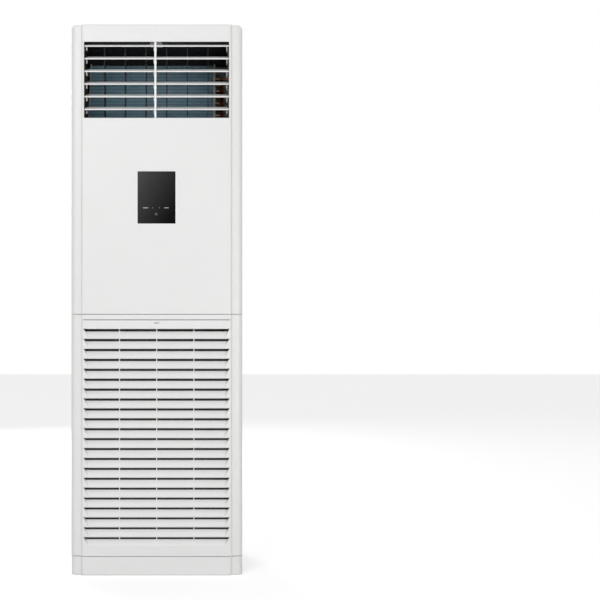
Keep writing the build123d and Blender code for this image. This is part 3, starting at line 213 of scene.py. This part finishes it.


# Each worn colour lightens the sharp edges, partly as wear and partly as a painted highlight
finishes = {
    # Painted highlight: a lighter copy of the white plastic for the slats and the outlet's middle bar,
    # standing in for the light on them
    "slatWhiteLit": {
        "colour": (0.92, 0.92, 0.915), "wornAndHighlit": (0.94, 0.94, 0.935), "dustyAndShaded": (0.6, 0.59, 0.57),
        "gloss": (0.3, 0.4), "grain": 1400, "depth": 0.00002, "radius": 0.0008, "dustAndShade": 0.15,
    },
    "white_plastic": {
        "colour": (0.83, 0.83, 0.825), "wornAndHighlit": (0.88, 0.88, 0.875), "dustyAndShaded": (0.55, 0.54, 0.52),
        "gloss": (0.34, 0.42), "grain": 1400, "depth": 0.00002, "radius": 0.0008, "dustAndShade": 0.25,
    },
    "dark_plastic": {
        "colour": (0.03, 0.03, 0.033), "wornAndHighlit": (0.09, 0.09, 0.095), "dustyAndShaded": (0.2, 0.19, 0.18),
        "gloss": (0.45, 0.6), "grain": 900, "depth": 0.00006, "radius": 0.0005, "dustAndShade": 0.4,
    },
    "filter_net": {
        "colour": (0.05, 0.055, 0.06), "wornAndHighlit": (0.1, 0.1, 0.11), "dustyAndShaded": (0.25, 0.24, 0.22),
        "gloss": (0.5, 0.7), "grain": 1200, "depth": 0.0001, "radius": 0.0002, "dustAndShade": 0.3,
    },
    "circuit_board": {
        "colour": (0.015, 0.14, 0.05), "wornAndHighlit": (0.3, 0.24, 0.1), "dustyAndShaded": (0.3, 0.29, 0.26),
        "gloss": (0.25, 0.4), "grain": 1500, "depth": 0.00004, "radius": 0.0004, "dustAndShade": 0.3,
    },
    "foam": {
        "colour": (0.022, 0.022, 0.023), "wornAndHighlit": (0.05, 0.05, 0.05), "dustyAndShaded": (0.1, 0.1, 0.09),
        "gloss": (0.85, 0.98), "grain": 420, "depth": 0.0006, "radius": 0.001, "dustAndShade": 0.2,
    },
    "pan_plastic": {
        "colour": (0.62, 0.62, 0.6), "wornAndHighlit": (0.75, 0.75, 0.73), "dustyAndShaded": (0.4, 0.38, 0.35),
        "gloss": (0.4, 0.55), "grain": 1000, "depth": 0.00004, "radius": 0.0008, "dustAndShade": 0.4,
    },
    "painted_steel": {
        "colour": (0.79, 0.79, 0.78), "wornAndHighlit": (0.86, 0.86, 0.85), "dustyAndShaded": (0.5, 0.49, 0.47),
        "gloss": (0.3, 0.4), "grain": 260, "depth": 0.00003, "radius": 0.0008, "dustAndShade": 0.25,
    },
    "motor_paint": {
        "colour": (0.05, 0.05, 0.055), "wornAndHighlit": (0.3, 0.3, 0.31), "dustyAndShaded": (0.25, 0.24, 0.22),
        "gloss": (0.35, 0.5), "grain": 500, "depth": 0.00008, "radius": 0.001, "dustAndShade": 0.5,
    },
}

# Each bright colour is a random paler tone, and on the sharp edges also a painted highlight
metals = {
    "fin_aluminium": {
        "colour": (0.52, 0.8, 0.94), "paleAndHighlit": (0.72, 0.88, 0.95), "metallic": 0.05,
        "gloss": (0.38, 0.5), "grain": 700, "stretch": 0.05, "depth": 0.00001, "radius": 0.0001,
    },
    "copper": {
        "colour": (0.72, 0.34, 0.2), "paleAndHighlit": (0.9, 0.55, 0.38), "metallic": 1.0,
        "gloss": (0.25, 0.45), "grain": 500, "stretch": 1, "depth": 0.00002, "radius": 0.0003,
    },
    "brass_fittings": {
        "colour": (0.66, 0.47, 0.2), "paleAndHighlit": (0.85, 0.68, 0.38), "metallic": 1.0,
        "gloss": (0.22, 0.38), "grain": 800, "stretch": 1, "depth": 0.00002, "radius": 0.0006,
    },
    "zinc_steel": {
        "colour": (0.55, 0.55, 0.56), "paleAndHighlit": (0.8, 0.8, 0.8), "metallic": 1.0,
        "gloss": (0.28, 0.42), "grain": 900, "stretch": 1, "depth": 0.00002, "radius": 0.0003,
    },
    # Painted highlight: a pale, nearly non-metallic copy of the galvanised steel, so the coil's end plate
    # and flange look bright as if catching the light
    "zincPlateLit": {
        "colour": (0.86, 0.87, 0.83), "paleAndHighlit": (0.95, 0.95, 0.91), "metallic": 0.05,
        "gloss": (0.4, 0.55), "grain": 600, "stretch": 1, "depth": 0.00002, "radius": 0.0003,
    },
    "galvanised_steel": {
        "colour": (0.46, 0.48, 0.5), "paleAndHighlit": (0.68, 0.7, 0.71), "metallic": 0.9,
        "gloss": (0.35, 0.55), "grain": 600, "stretch": 1, "depth": 0.00002, "radius": 0.0005,
    },
}


def startMaterial(name):
    material = bpy.data.materials.new(name)
    material.use_nodes = True
    tree = material.node_tree
    return material, tree, tree.nodes["Principled BSDF"]


def setColour(tree, colour):
    tree.links.new(colour, tree.nodes["Principled BSDF"].inputs["Base Color"])


def bumpFrom(tree, shader, height, depth, normal):
    bump = addNode(tree, "ShaderNodeBump")
    bump.inputs["Strength"].default_value = 1
    bump.inputs["Distance"].default_value = depth
    tree.links.new(height, bump.inputs["Height"])
    tree.links.new(normal, bump.inputs["Normal"])
    tree.links.new(bump.outputs["Normal"], shader.inputs["Normal"])


mottle = {"low": 0.3, "high": 0.7, "fade": 0.965, "metalShare": 0.4}


def coatedFinish(name, look):
    # Moulded plastic and sprayed paint: mottled colour, edges lightened as wear and as a painted
    # highlight, dust and painted shade in the corners
    material, tree, shader = startMaterial(name)
    grain = placeGroup(tree, "grain", Scale=look["grain"])
    edge = placeGroup(tree, "edge", Radius=look["radius"])
    dustAndShade = placeGroup(tree, "dustAndShade", Amount=look["dustAndShade"])
    faded = tuple(channel * mottle["fade"] for channel in look["colour"])
    mottled = mixColour(tree, grain.outputs["Mottle"], look["colour"], faded)
    # Painted highlight: sharp edges turn paler, partly wear and partly light catching the edges
    wornAndHighlit = mixColour(tree, edge.outputs["Edge"], mottled, look["wornAndHighlit"])
    # Dust and painted shade: corners and slots darken toward the dusty grey through the occlusion mask
    colour = mixColour(tree, dustAndShade.outputs["DustAndShade"], wornAndHighlit, look["dustyAndShaded"])
    setColour(tree, colour)
    gloss = spread(tree, grain.outputs["Mottle"], mottle["low"], mottle["high"], *look["gloss"])
    tree.links.new(gloss, shader.inputs["Roughness"])
    bumpFrom(tree, shader, grain.outputs["Height"], look["depth"], edge.outputs["Normal"])
    return material, colour


def metalFinish(name, look):
    material, tree, shader = startMaterial(name)
    grain = placeGroup(tree, "grain", Scale=look["grain"], Stretch=look["stretch"])
    edge = placeGroup(tree, "edge", Radius=look["radius"])
    shade = spread(tree, grain.outputs["Mottle"], mottle["low"], mottle["high"], 0, mottle["metalShare"])
    mottled = mixColour(tree, shade, look["colour"], look["paleAndHighlit"])
    # Painted highlight: sharp edges turn to the paler colour, partly wear and partly light catching the
    # edges
    wornAndHighlit = mixColour(tree, edge.outputs["Edge"], mottled, look["paleAndHighlit"])
    setColour(tree, wornAndHighlit)
    shader.inputs["Metallic"].default_value = look["metallic"]
    gloss = spread(tree, grain.outputs["Height"], mottle["low"], mottle["high"], *look["gloss"])
    tree.links.new(gloss, shader.inputs["Roughness"])
    bumpFrom(tree, shader, grain.outputs["Height"], look["depth"], edge.outputs["Normal"])
    return material


mouldingTones = {
    "trim": (0.8, 0.8, 0.785),
    "trimMargin": 0.0002,
    "grooveShade": (0.3, 0.3, 0.29), "grooveRows": (0.8503, 0.8649), "grooveDepth": 0.0008,
    "grooveSides": 0.248,
    "scoop": (0.9, 0.9, 0.893), "scoopRows": (0.08, 0.84),
}


def frontMouldingFinish():
    # The front mouldings: greyer side trims, scoops whitened as a painted highlight, and painted shade in
    # the brow groove and finger mark
    material, colour = coatedFinish("frontMoulding", finishes["white_plastic"])
    tree = material.node_tree
    parts = axesOf(tree, objectPlace(tree))
    sideways = mathNode(tree, "ABSOLUTE", parts["X"])
    trimEdge = cabinet["trimEdge"] + mouldingTones["trimMargin"]
    onTrim = mathNode(tree, "GREATER_THAN", sideways, trimEdge)
    toned = mixColour(tree, onTrim, colour, mouldingTones["trim"])
    inside = mathNode(tree, "LESS_THAN", sideways, mouldingTones["grooveSides"])
    floorY = cabinet["frontY"] + mouldingTones["grooveDepth"]
    behindFace = mathNode(tree, "GREATER_THAN", parts["Y"], floorY)
    scoopRows = within(tree, parts["Z"], *mouldingTones["scoopRows"])
    onScoop = mathNode(tree, "MULTIPLY", mathNode(tree, "MULTIPLY", scoopRows, inside), behindFace)
    # Painted highlight: the recessed scoop faces turn whiter, standing in for the light from above
    toned = mixColour(tree, onScoop, toned, mouldingTones["scoop"])
    grooveRows = within(tree, parts["Z"], *mouldingTones["grooveRows"])
    sunk = within(tree, parts["Y"], floorY, floorY + 2 * mouldingTones["grooveDepth"])
    inGroove = mathNode(tree, "MULTIPLY", mathNode(tree, "MULTIPLY", grooveRows, inside), sunk)
    # Painted shade: the brow groove and finger mark darken where the recess lies in shade
    setColour(tree, mixColour(tree, inGroove, toned, mouldingTones["grooveShade"]))
    return material


def outletFrameFinish():
    # The outlet frame: coloured black all round as painted shade for the unlit duct walls, and a white
    # upright bar in the middle
    material, colour = coatedFinish("outletPaintedShade", finishes["dark_plastic"])
    tree = material.node_tree
    parts = axesOf(tree, objectPlace(tree))
    middle, reach = cabinet["mullion"], cabinet["mullionReach"]
    onBar = within(tree, parts["X"], middle - reach, middle + reach)
    setColour(tree, mixColour(tree, onBar, colour, finishes["slatWhiteLit"]["colour"]))
    return material


displayGlass = {
    "paintedReflectionGrey": (0.078, 0.078, 0.08), "black": (0.0015, 0.0015, 0.0018),
    "paleReflectionCorner": (-0.062, 1.37), "darkCorner": (0.062, 1.19),
    "acrossShare": 0.62, "downShare": 0.5, "bend": 0.6,
    "smear": 0.004, "smearScale": 30, "smearDetail": 5,
    "glossFrom": 0.4, "gloss": (0.08, 0.14), "specular": 0.07,
}


def glassFinish():
    # Smoked glass with a painted reflection: grey at the upper left fading to black at the lower right,
    # with finger smears
    material, tree, shader = startMaterial("displayGlass")
    place = objectPlace(tree)
    parts = axesOf(tree, place)
    left, top = displayGlass["paleReflectionCorner"]
    right, bottom = displayGlass["darkCorner"]
    across = spread(tree, parts["X"], left, right, 0, displayGlass["acrossShare"])
    down = spread(tree, parts["Z"], top, bottom, 0, displayGlass["downShare"])
    noise = addNoise(tree, place, displayGlass["smearScale"], displayGlass["smearDetail"])
    smudge = noise.outputs["Fac"]
    smear = spread(
        tree, smudge, mottle["low"], mottle["high"], -displayGlass["smear"], displayGlass["smear"]
    )
    paintedReflection = mathNode(tree, "ADD", mathNode(tree, "ADD", across, down), smear, clamp=True)
    paintedReflection = mathNode(tree, "POWER", paintedReflection, displayGlass["bend"])
    # Painted reflection: the colour runs from grey to black across the glass in place of a reflected
    # gradient
    setColour(tree, mixColour(tree, paintedReflection, displayGlass["paintedReflectionGrey"], displayGlass["black"]))
    gloss = spread(tree, smudge, displayGlass["glossFrom"], mottle["high"], *displayGlass["gloss"])
    tree.links.new(gloss, shader.inputs["Roughness"])
    shader.inputs["Specular IOR Level"].default_value = displayGlass["specular"]
    return material


inks = {
    "keyPrint": ((0.16, 0.165, 0.17), (0.2, 0.205, 0.21)),
    "brightPrint": ((0.34, 0.35, 0.36), (0.42, 0.43, 0.44)),
}
inkLook = {"grain": 2000, "gloss": (0.4, 0.5)}


def printFinish(name):
    material, tree, shader = startMaterial(name)
    grain = placeGroup(tree, "grain", Scale=inkLook["grain"])
    setColour(tree, mixColour(tree, grain.outputs["Mottle"], *inks[name]))
    gloss = spread(tree, grain.outputs["Height"], mottle["low"], mottle["high"], *inkLook["gloss"])
    tree.links.new(gloss, shader.inputs["Roughness"])
    return material


finRowShade = {"pitch": 0.0117, "shade": (0.09, 0.17, 0.21), "strength": 0.4}


def finFinish():
    # Blue coated fins, with a painted shade line along each row of slits between the tubes
    material = metalFinish("coatedFins", metals["fin_aluminium"])
    tree = material.node_tree
    parts = axesOf(tree, objectPlace(tree))
    turns = mathNode(tree, "MULTIPLY", parts["Z"], 2 * math.pi / finRowShade["pitch"])
    # Painted shade: a darker band repeats at each row of slits
    paintedRowShade = spread(tree, mathNode(tree, "SINE", turns), 0, 1, 0, finRowShade["strength"])
    before = tree.nodes["Principled BSDF"].inputs["Base Color"].links[0].from_socket
    setColour(tree, mixColour(tree, paintedRowShade, before, finRowShade["shade"]))
    return material


netWeave = {
    "pitch": 0.0016, "depth": 0.0002, "threadFrom": 0.2, "threadFull": 0.7,
    "thread": (0.045, 0.047, 0.05), "hole": (0.006, 0.006, 0.006),
}


def netFinish():
    # Woven filter net: crossing threads with dark holes between them
    material = coatedFinish("filterNet", finishes["filter_net"])[0]
    tree = material.node_tree
    parts = axesOf(tree, objectPlace(tree))
    threads = []
    for axis in ("X", "Z"):
        turns = mathNode(tree, "MULTIPLY", parts[axis], 2 * math.pi / netWeave["pitch"])
        threads.append(mathNode(tree, "SINE", turns))
    raised = mathNode(tree, "MAXIMUM", *threads)
    thread = spread(tree, raised, netWeave["threadFrom"], netWeave["threadFull"], 0, 1)
    setColour(tree, mixColour(tree, thread, netWeave["hole"], netWeave["thread"]))
    shader = tree.nodes["Principled BSDF"]
    bumpFrom(tree, shader, raised, netWeave["depth"], placeGroup(tree, "edge").outputs["Normal"])
    return material


spangle = {"scale": 90}


def spangleFinish():
    # Hot dipped zinc: flat crystals, each with its own brightness
    look = metals["galvanised_steel"]
    material = metalFinish("galvanised", look)
    tree = material.node_tree
    crystals = addNode(tree, "ShaderNodeTexVoronoi")
    crystals.inputs["Scale"].default_value = spangle["scale"]
    tree.links.new(objectPlace(tree), crystals.inputs["Vector"])
    brightness = axesOf(tree, crystals.outputs["Color"])["X"]
    setColour(tree, mixColour(tree, brightness, look["colour"], look["paleAndHighlit"]))
    return material


materials = {
    "galvanised_steel": spangleFinish(),
    "black_glass": glassFinish(),
    "fin_aluminium": finFinish(),
    "filter_net": netFinish(),
    "frontMoulding": frontMouldingFinish(),
    "outletPaintedShade": outletFrameFinish(),
    **{name: printFinish(name) for name in inks},
}
for slot, look in finishes.items():
    if slot not in materials:
        materials[slot] = coatedFinish(slot, look)[0]
for slot, look in metals.items():
    if slot not in materials:
        materials[slot] = metalFinish(slot, look)

nodeSlots = {row["node"]: row["material_slot"] for row in frame["record"]["subparts"]}
ownFinish = {
    **dict.fromkeys(("upper_front_panel", "intake_panel", "plinth"), "frontMoulding"),
    "outlet_frame": "outletPaintedShade", "coil_end_plates": "zincPlateLit",
    **{f"slat_{k + 1}": "slatWhiteLit" for k in range(6)},
}
for nodeName, node in frame["nodes"].items():
    finish = ownFinish.get(nodeName, nodeSlots[nodeName])
    node.data.materials.clear()
    node.data.materials.append(materials[finish])
print("finishes placed")


def addPiece(name, bm, material, body, replaced=()):
    mesh = bpy.data.meshes.new(name)
    bmesh.ops.recalc_face_normals(bm, faces=bm.faces)
    bm.to_mesh(mesh)
    bm.free()
    mesh.materials.append(materials[material])
    piece = bpy.data.objects.new(name, mesh)
    bpy.context.scene.collection.objects.link(piece)
    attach(piece, body)
    if replaced:
        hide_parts(*replaced)
    return piece


def extrudeEdges(bm, edges):
    # Gives the new vertices, and the new edges that lie between them
    moved = bmesh.ops.extrude_edge_only(bm, edges=edges)["geom"]
    verts = [item for item in moved if isinstance(item, bmesh.types.BMVert)]
    fresh = [item for item in moved if isinstance(item, bmesh.types.BMEdge)]
    return verts, [edge for edge in fresh if all(vert in verts for vert in edge.verts)]


def turnedTo(place, degrees):
    # Turns about X at the origin, then moves to the place
    return Matrix.Translation(place) @ Matrix.Rotation(math.radians(degrees), 4, "X")


finPack = {
    "pitch": 0.002, "thickness": 0.0006, "depth": 0.044, "length": 0.704,
    "left": -0.25, "right": 0.194,
    "foot": (0, -0.13, 1.13), "tilt": 22.595,       # the lower front edge, and the lean to the back
    "waves": 8, "waveHeight": 0.004,
}


def makeFinPack():
    # One fin folded into shallow waves, repeated across the coil by an array
    bm = bmesh.new()
    foot = bm.verts.new((0, 0, 0))
    tall = bm.verts.new((0, 0, finPack["length"]))
    edges = [bm.edges.new((foot, tall))]
    step = finPack["depth"] / finPack["waves"]
    for k in range(finPack["waves"]):
        side = 1 if k % 2 == 0 else -1
        verts, edges = extrudeEdges(bm, edges)
        bmesh.ops.translate(bm, verts=verts, vec=(side * finPack["waveHeight"], step, 0))
    start = Vector((finPack["left"] + finPack["pitch"] / 2, 0, 0)) + Vector(finPack["foot"])
    bmesh.ops.transform(bm, matrix=turnedTo(start, -finPack["tilt"]), verts=bm.verts)
    fins = addPiece("coil_fin_pack", bm, "fin_aluminium", "cabinet", ["coil_fins"])
    wall = fins.modifiers.new("wall", "SOLIDIFY")
    wall.thickness = finPack["thickness"]
    wall.offset = 0
    repeat = fins.modifiers.new("repeat", "ARRAY")
    repeat.count = round((finPack["right"] - finPack["left"]) / finPack["pitch"])
    repeat.use_relative_offset = False
    repeat.use_constant_offset = True
    repeat.constant_offset_displace = (finPack["pitch"], 0, 0)


coilFlange = {
    "middle": 0.195, "width": 0.007, "thickness": 0.0012, "edge": 0.0004,
    "plateMargin": 0.004,   # how far the end plate stands ahead of the fins
}


def makeCoilFlange():
    # The folded front edge of the coil's right end plate, beside the return bends
    bm = bmesh.new()
    bmesh.ops.create_cube(bm, size=1)
    size = (coilFlange["width"], coilFlange["thickness"], finPack["length"])
    bmesh.ops.scale(bm, vec=size, verts=bm.verts)
    bmesh.ops.bevel(
        bm, geom=bm.edges[:], offset=coilFlange["edge"], affect="EDGES",
        segments=2, profile=0.5, material=-1,
    )
    ahead = coilFlange["plateMargin"] + coilFlange["thickness"] / 2
    middle = (coilFlange["middle"], -ahead, finPack["length"] / 2)
    bmesh.ops.translate(bm, vec=middle, verts=bm.verts)
    bmesh.ops.transform(bm, matrix=turnedTo(finPack["foot"], -finPack["tilt"]), verts=bm.verts)
    addPiece("coil_plate_flange", bm, "zincPlateLit", "cabinet")


keyMarks = {
    "proud": 0.00006, "row": 1.241,
    "bars": ((-0.0455, -0.028), (0.0258, 0.0408)), "barHeight": 0.0027, "barRound": 0.6,
    "arrows": ((-0.0124, 0), (0.01, 180)),      # each arrow's place and turn
    "arrowSize": 0.0024,
    "ring": (-0.0012, 1.2198), "ringOuter": 0.004, "ringInner": 0.0028,
    "ringGap": 50, "ringSteps": 28,
    "stem": 0.0012, "stemLift": 0.55,
}


def standMark(bm, x, z):
    # Stands a flat mark drawn in X and Y upright on the front of the glass
    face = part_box("display_glass")[0][1] - keyMarks["proud"]
    bmesh.ops.transform(bm, matrix=turnedTo((x, face, z), 90), verts=bm.verts)
    fresh = bmesh.ops.extrude_face_region(bm, geom=bm.faces[:])["geom"]
    backs = [item for item in fresh if isinstance(item, bmesh.types.BMVert)]
    bmesh.ops.translate(bm, verts=backs, vec=(0, keyMarks["proud"], 0))


def makeKeyMarks():
    # Two key bars, two arrows and a power ring, printed on the glass
    half = keyMarks["barHeight"] / 2
    for k, (left, right) in enumerate(keyMarks["bars"]):
        bm = bmesh.new()
        bmesh.ops.create_grid(bm, x_segments=1, y_segments=1, size=half)
        bmesh.ops.scale(bm, vec=((right - left) / (2 * half), 1, 1), verts=bm.verts)
        bmesh.ops.bevel(
            bm, geom=bm.verts[:], offset=half * keyMarks["barRound"], affect="VERTICES",
            segments=3, profile=0.5, material=-1,
        )
        standMark(bm, (left + right) / 2, keyMarks["row"])
        addPiece(f"key_bar_{k + 1}", bm, "brightPrint", "cabinet")
    for k, (middle, turn) in enumerate(keyMarks["arrows"]):
        bm = bmesh.new()
        bmesh.ops.create_circle(bm, cap_ends=True, segments=3, radius=keyMarks["arrowSize"])
        bmesh.ops.rotate(bm, verts=bm.verts, matrix=Matrix.Rotation(math.radians(turn), 3, "Z"))
        standMark(bm, middle, keyMarks["row"])
        addPiece(f"key_arrow_{k + 1}", bm, "keyPrint", "cabinet")
    bm = bmesh.new()
    inner = bm.verts.new((keyMarks["ringInner"], 0, 0))
    outer = bm.verts.new((keyMarks["ringOuter"], 0, 0))
    rim = [inner, outer, bm.edges.new((inner, outer))]
    gap = math.radians(keyMarks["ringGap"])
    turned = Matrix.Rotation(math.radians(90) + gap / 2, 3, "Z")
    bmesh.ops.rotate(bm, verts=[inner, outer], matrix=turned)
    bmesh.ops.spin(
        bm, geom=rim, axis=(0, 0, 1), cent=(0, 0, 0), angle=2 * math.pi - gap, steps=keyMarks["ringSteps"]
    )
    stem = bmesh.ops.create_grid(bm, x_segments=1, y_segments=1, size=keyMarks["stem"] / 2)["verts"]
    bmesh.ops.scale(bm, vec=(1, keyMarks["ringOuter"] / keyMarks["stem"], 1), verts=stem)
    bmesh.ops.translate(bm, verts=stem, vec=(0, keyMarks["ringOuter"] * keyMarks["stemLift"], 0))
    standMark(bm, *keyMarks["ring"])
    addPiece("power_mark", bm, "keyPrint", "cabinet")


panHead = {
    "perSide": 5, "radius": 0.004, "height": 0.0022, "facets": 24,
    "rings": ((1, 0.45), (0.86, 0.8), (0.6, 0.97)),     # shares of the radius and of the height
    "slot": 0.00045, "reach": 0.0022, "depth": 0.0011,
}


def makePanHead(bm, x, z, back):
    # A domed head with a cross recess, its underside flat on the rear panel
    fresh = bmesh.ops.create_circle(bm, segments=panHead["facets"], radius=panHead["radius"])["verts"]
    rim = [edge for edge in bm.edges if all(vert in fresh for vert in edge.verts)]
    before = 1
    for share, height in panHead["rings"]:
        ring, rim = extrudeEdges(bm, rim)
        bmesh.ops.scale(bm, vec=(share / before, share / before, 1), verts=ring)
        bmesh.ops.translate(bm, verts=ring, vec=(0, 0, panHead["height"] * height - ring[0].co.z))
        fresh = fresh + ring
        before = share
    cross = []
    for k in range(4):
        for side, along in ((-1, "reach"), (1, "reach"), (1, "slot")):
            corner = Vector((panHead[along], side * panHead["slot"], ring[0].co.z))
            cross.append(bm.verts.new(Matrix.Rotation(math.radians(90 * k), 3, "Z") @ corner))
    slotEdges = [bm.edges.new((cross[k], cross[k - 1])) for k in range(len(cross))]
    bmesh.ops.triangle_fill(bm, use_beauty=True, use_dissolve=False, edges=rim + slotEdges)
    floor, floorEdges = extrudeEdges(bm, slotEdges)
    bmesh.ops.translate(bm, verts=floor, vec=(0, 0, -panHead["depth"]))
    bmesh.ops.edgeloop_fill(bm, edges=floorEdges)
    bmesh.ops.transform(bm, matrix=turnedTo((x, back, z), -90), verts=fresh + cross + floor)


def makeCasingScrews():
    low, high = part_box("casing_screws")
    back = high[1] - panHead["height"]
    first, last = low[2] + panHead["radius"], high[2] - panHead["radius"]
    step = (last - first) / (panHead["perSide"] - 1)
    bm = bmesh.new()
    for x in (low[0] + panHead["radius"], high[0] - panHead["radius"]):
        for k in range(panHead["perSide"]):
            makePanHead(bm, x, first + step * k, back)
    addPiece("pan_head_screws", bm, "zinc_steel", "cabinet", ["casing_screws"])


portCover = {
    # Radius and height from the middle outward: boss, dish, rim
    "outline": (
        (0.0, 0.0008), (0.009, 0.0008), (0.01, 0.0015), (0.012, 0.0015), (0.013, 0.0007), (0.04, 0.0007),
        (0.0412, 0.0016), (0.0445, 0.002), (0.048, 0.0019), (0.0505, 0.0012), (0.051, 0.0),
    ),
    "facets": 64, "weld": 0.00001,
    "ribs": 8, "ribWidth": 0.0016, "ribFrom": 0.014, "ribTo": 0.0408, "ribTop": 0.0014,
}


def makePortCover():
    # A moulded cap over the unused pipe port: a dished disc with a rim, a boss and eight ribs
    low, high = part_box("pipe_port_cover")
    back = high[1] - max(height for radius, height in portCover["outline"])
    bm = bmesh.new()
    outline = [bm.verts.new((radius, 0, height)) for radius, height in portCover["outline"]]
    edges = [bm.edges.new(pair) for pair in zip(outline, outline[1:])]
    bmesh.ops.spin(
        bm, geom=outline + edges, axis=(0, 0, 1), cent=(0, 0, 0), angle=2 * math.pi,
        steps=portCover["facets"], use_merge=True,
    )
    bmesh.ops.remove_doubles(bm, verts=bm.verts, dist=portCover["weld"])
    length = portCover["ribTo"] - portCover["ribFrom"]
    ribPlace = (portCover["ribFrom"] + length / 2, 0, portCover["ribTop"] / 2)
    for k in range(portCover["ribs"]):
        rib = bmesh.ops.create_cube(bm, size=1)["verts"]
        bmesh.ops.scale(bm, vec=(length, portCover["ribWidth"], portCover["ribTop"]), verts=rib)
        bmesh.ops.translate(bm, vec=ribPlace, verts=rib)
        turn = Matrix.Rotation(2 * math.pi * k / portCover["ribs"], 3, "Z")
        bmesh.ops.rotate(bm, verts=rib, matrix=turn)
    middle = ((low[0] + high[0]) / 2, back, (low[2] + high[2]) / 2)
    bmesh.ops.transform(bm, matrix=turnedTo(middle, -90), verts=bm.verts)
    addPiece("pipe_port_cap", bm, "dark_plastic", "cabinet", ["pipe_port_cover"])


makeFinPack()
makeCoilFlange()
makeKeyMarks()
makeCasingScrews()
makePortCover()
print("pieces made")


stage = {
    "ambient": 0.5,
    "floorReach": 12, "floorColour": (0.88, 0.88, 0.88), "floorRough": 0.9, "floorSpecular": 0.1,
    "floorGlow": 0.41,      # lifts the open floor to white for the camera, and leaves the shadow
}

lamps = {
    "key": {"place": (-1.4, -4.1, 2.8), "aim": (0, 0, 0.9), "size": (1.8, 1.4), "watts": 51},
    "fill": {"place": (1.7, -4.2, 0.75), "aim": (0, 0, 0.8), "size": (1.4, 1.2), "watts": 38},
    "behind": {"place": (-1.6, 4.2, 2.4), "aim": (0, 0, 1), "size": (2, 2), "watts": 60},
}


def makeStage():
    bm = bmesh.new()
    bmesh.ops.create_grid(bm, x_segments=1, y_segments=1, size=stage["floorReach"])
    mesh = bpy.data.meshes.new("floor")
    bm.to_mesh(mesh)
    bm.free()
    floor = bpy.data.objects.new("floor", mesh)
    bpy.context.scene.collection.objects.link(floor)
    material, tree, shader = startMaterial("paleFloor")
    shader.inputs["Base Color"].default_value = (*stage["floorColour"], 1)
    shader.inputs["Roughness"].default_value = stage["floorRough"]
    shader.inputs["Specular IOR Level"].default_value = stage["floorSpecular"]
    seen = addNode(tree, "ShaderNodeLightPath")
    glow = mathNode(tree, "MULTIPLY", seen.outputs["Is Camera Ray"], stage["floorGlow"])
    shader.inputs["Emission Color"].default_value = (1, 1, 1, 1)
    tree.links.new(glow, shader.inputs["Emission Strength"])
    mesh.materials.append(material)


def makeWorld():
    world = bpy.data.worlds.new("studio")
    bpy.context.scene.world = world
    world.use_nodes = True
    tree = world.node_tree
    background = tree.nodes["Background"]
    background.inputs["Color"].default_value = (1, 1, 1, 1)
    seen = addNode(tree, "ShaderNodeLightPath")
    direct = mathNode(tree, "MAXIMUM", seen.outputs["Is Camera Ray"], seen.outputs["Is Glossy Ray"])
    direct = mathNode(tree, "MAXIMUM", direct, seen.outputs["Is Transmission Ray"])
    tree.links.new(spread(tree, direct, 0, 1, stage["ambient"], 1), background.inputs["Strength"])


def addSoftbox(name, place, aim, size, watts):
    lamp = bpy.data.lights.new(name, "AREA")
    lamp.shape = "RECTANGLE"
    lamp.size, lamp.size_y = size
    lamp.energy = watts
    holder = bpy.data.objects.new(name, lamp)
    holder.location = place
    holder.rotation_euler = (Vector(aim) - Vector(place)).to_track_quat("-Z", "Y").to_euler()
    holder.visible_camera = False
    bpy.context.scene.collection.objects.link(holder)


shot = {
    "distance": 4.5, "side": 0.2, "height": 0.93, "frameWidth": 2.0242, "sensor": 36,
    "objectAt": 0.4841,    # how far right of the object's middle the picture's middle lies
}


def addCamera():
    lens = bpy.data.cameras.new("camera")
    holder = bpy.data.objects.new("camera", lens)
    lens.sensor_width = shot["sensor"]
    lens.lens = lens.sensor_width * shot["distance"] / shot["frameWidth"]
    lens.shift_x = (shot["objectAt"] - shot["side"]) / shot["frameWidth"]
    holder.location = (shot["side"], cabinet["frontY"] - shot["distance"], shot["height"])
    holder.rotation_euler = (math.radians(90), 0, 0)
    bpy.context.scene.collection.objects.link(holder)
    bpy.context.scene.camera = holder


makeStage()
makeWorld()
for name, lamp in lamps.items():
    addSoftbox(name, **lamp)
addCamera()
bpy.context.scene.view_settings.view_transform = "Standard"
print("stage lit")
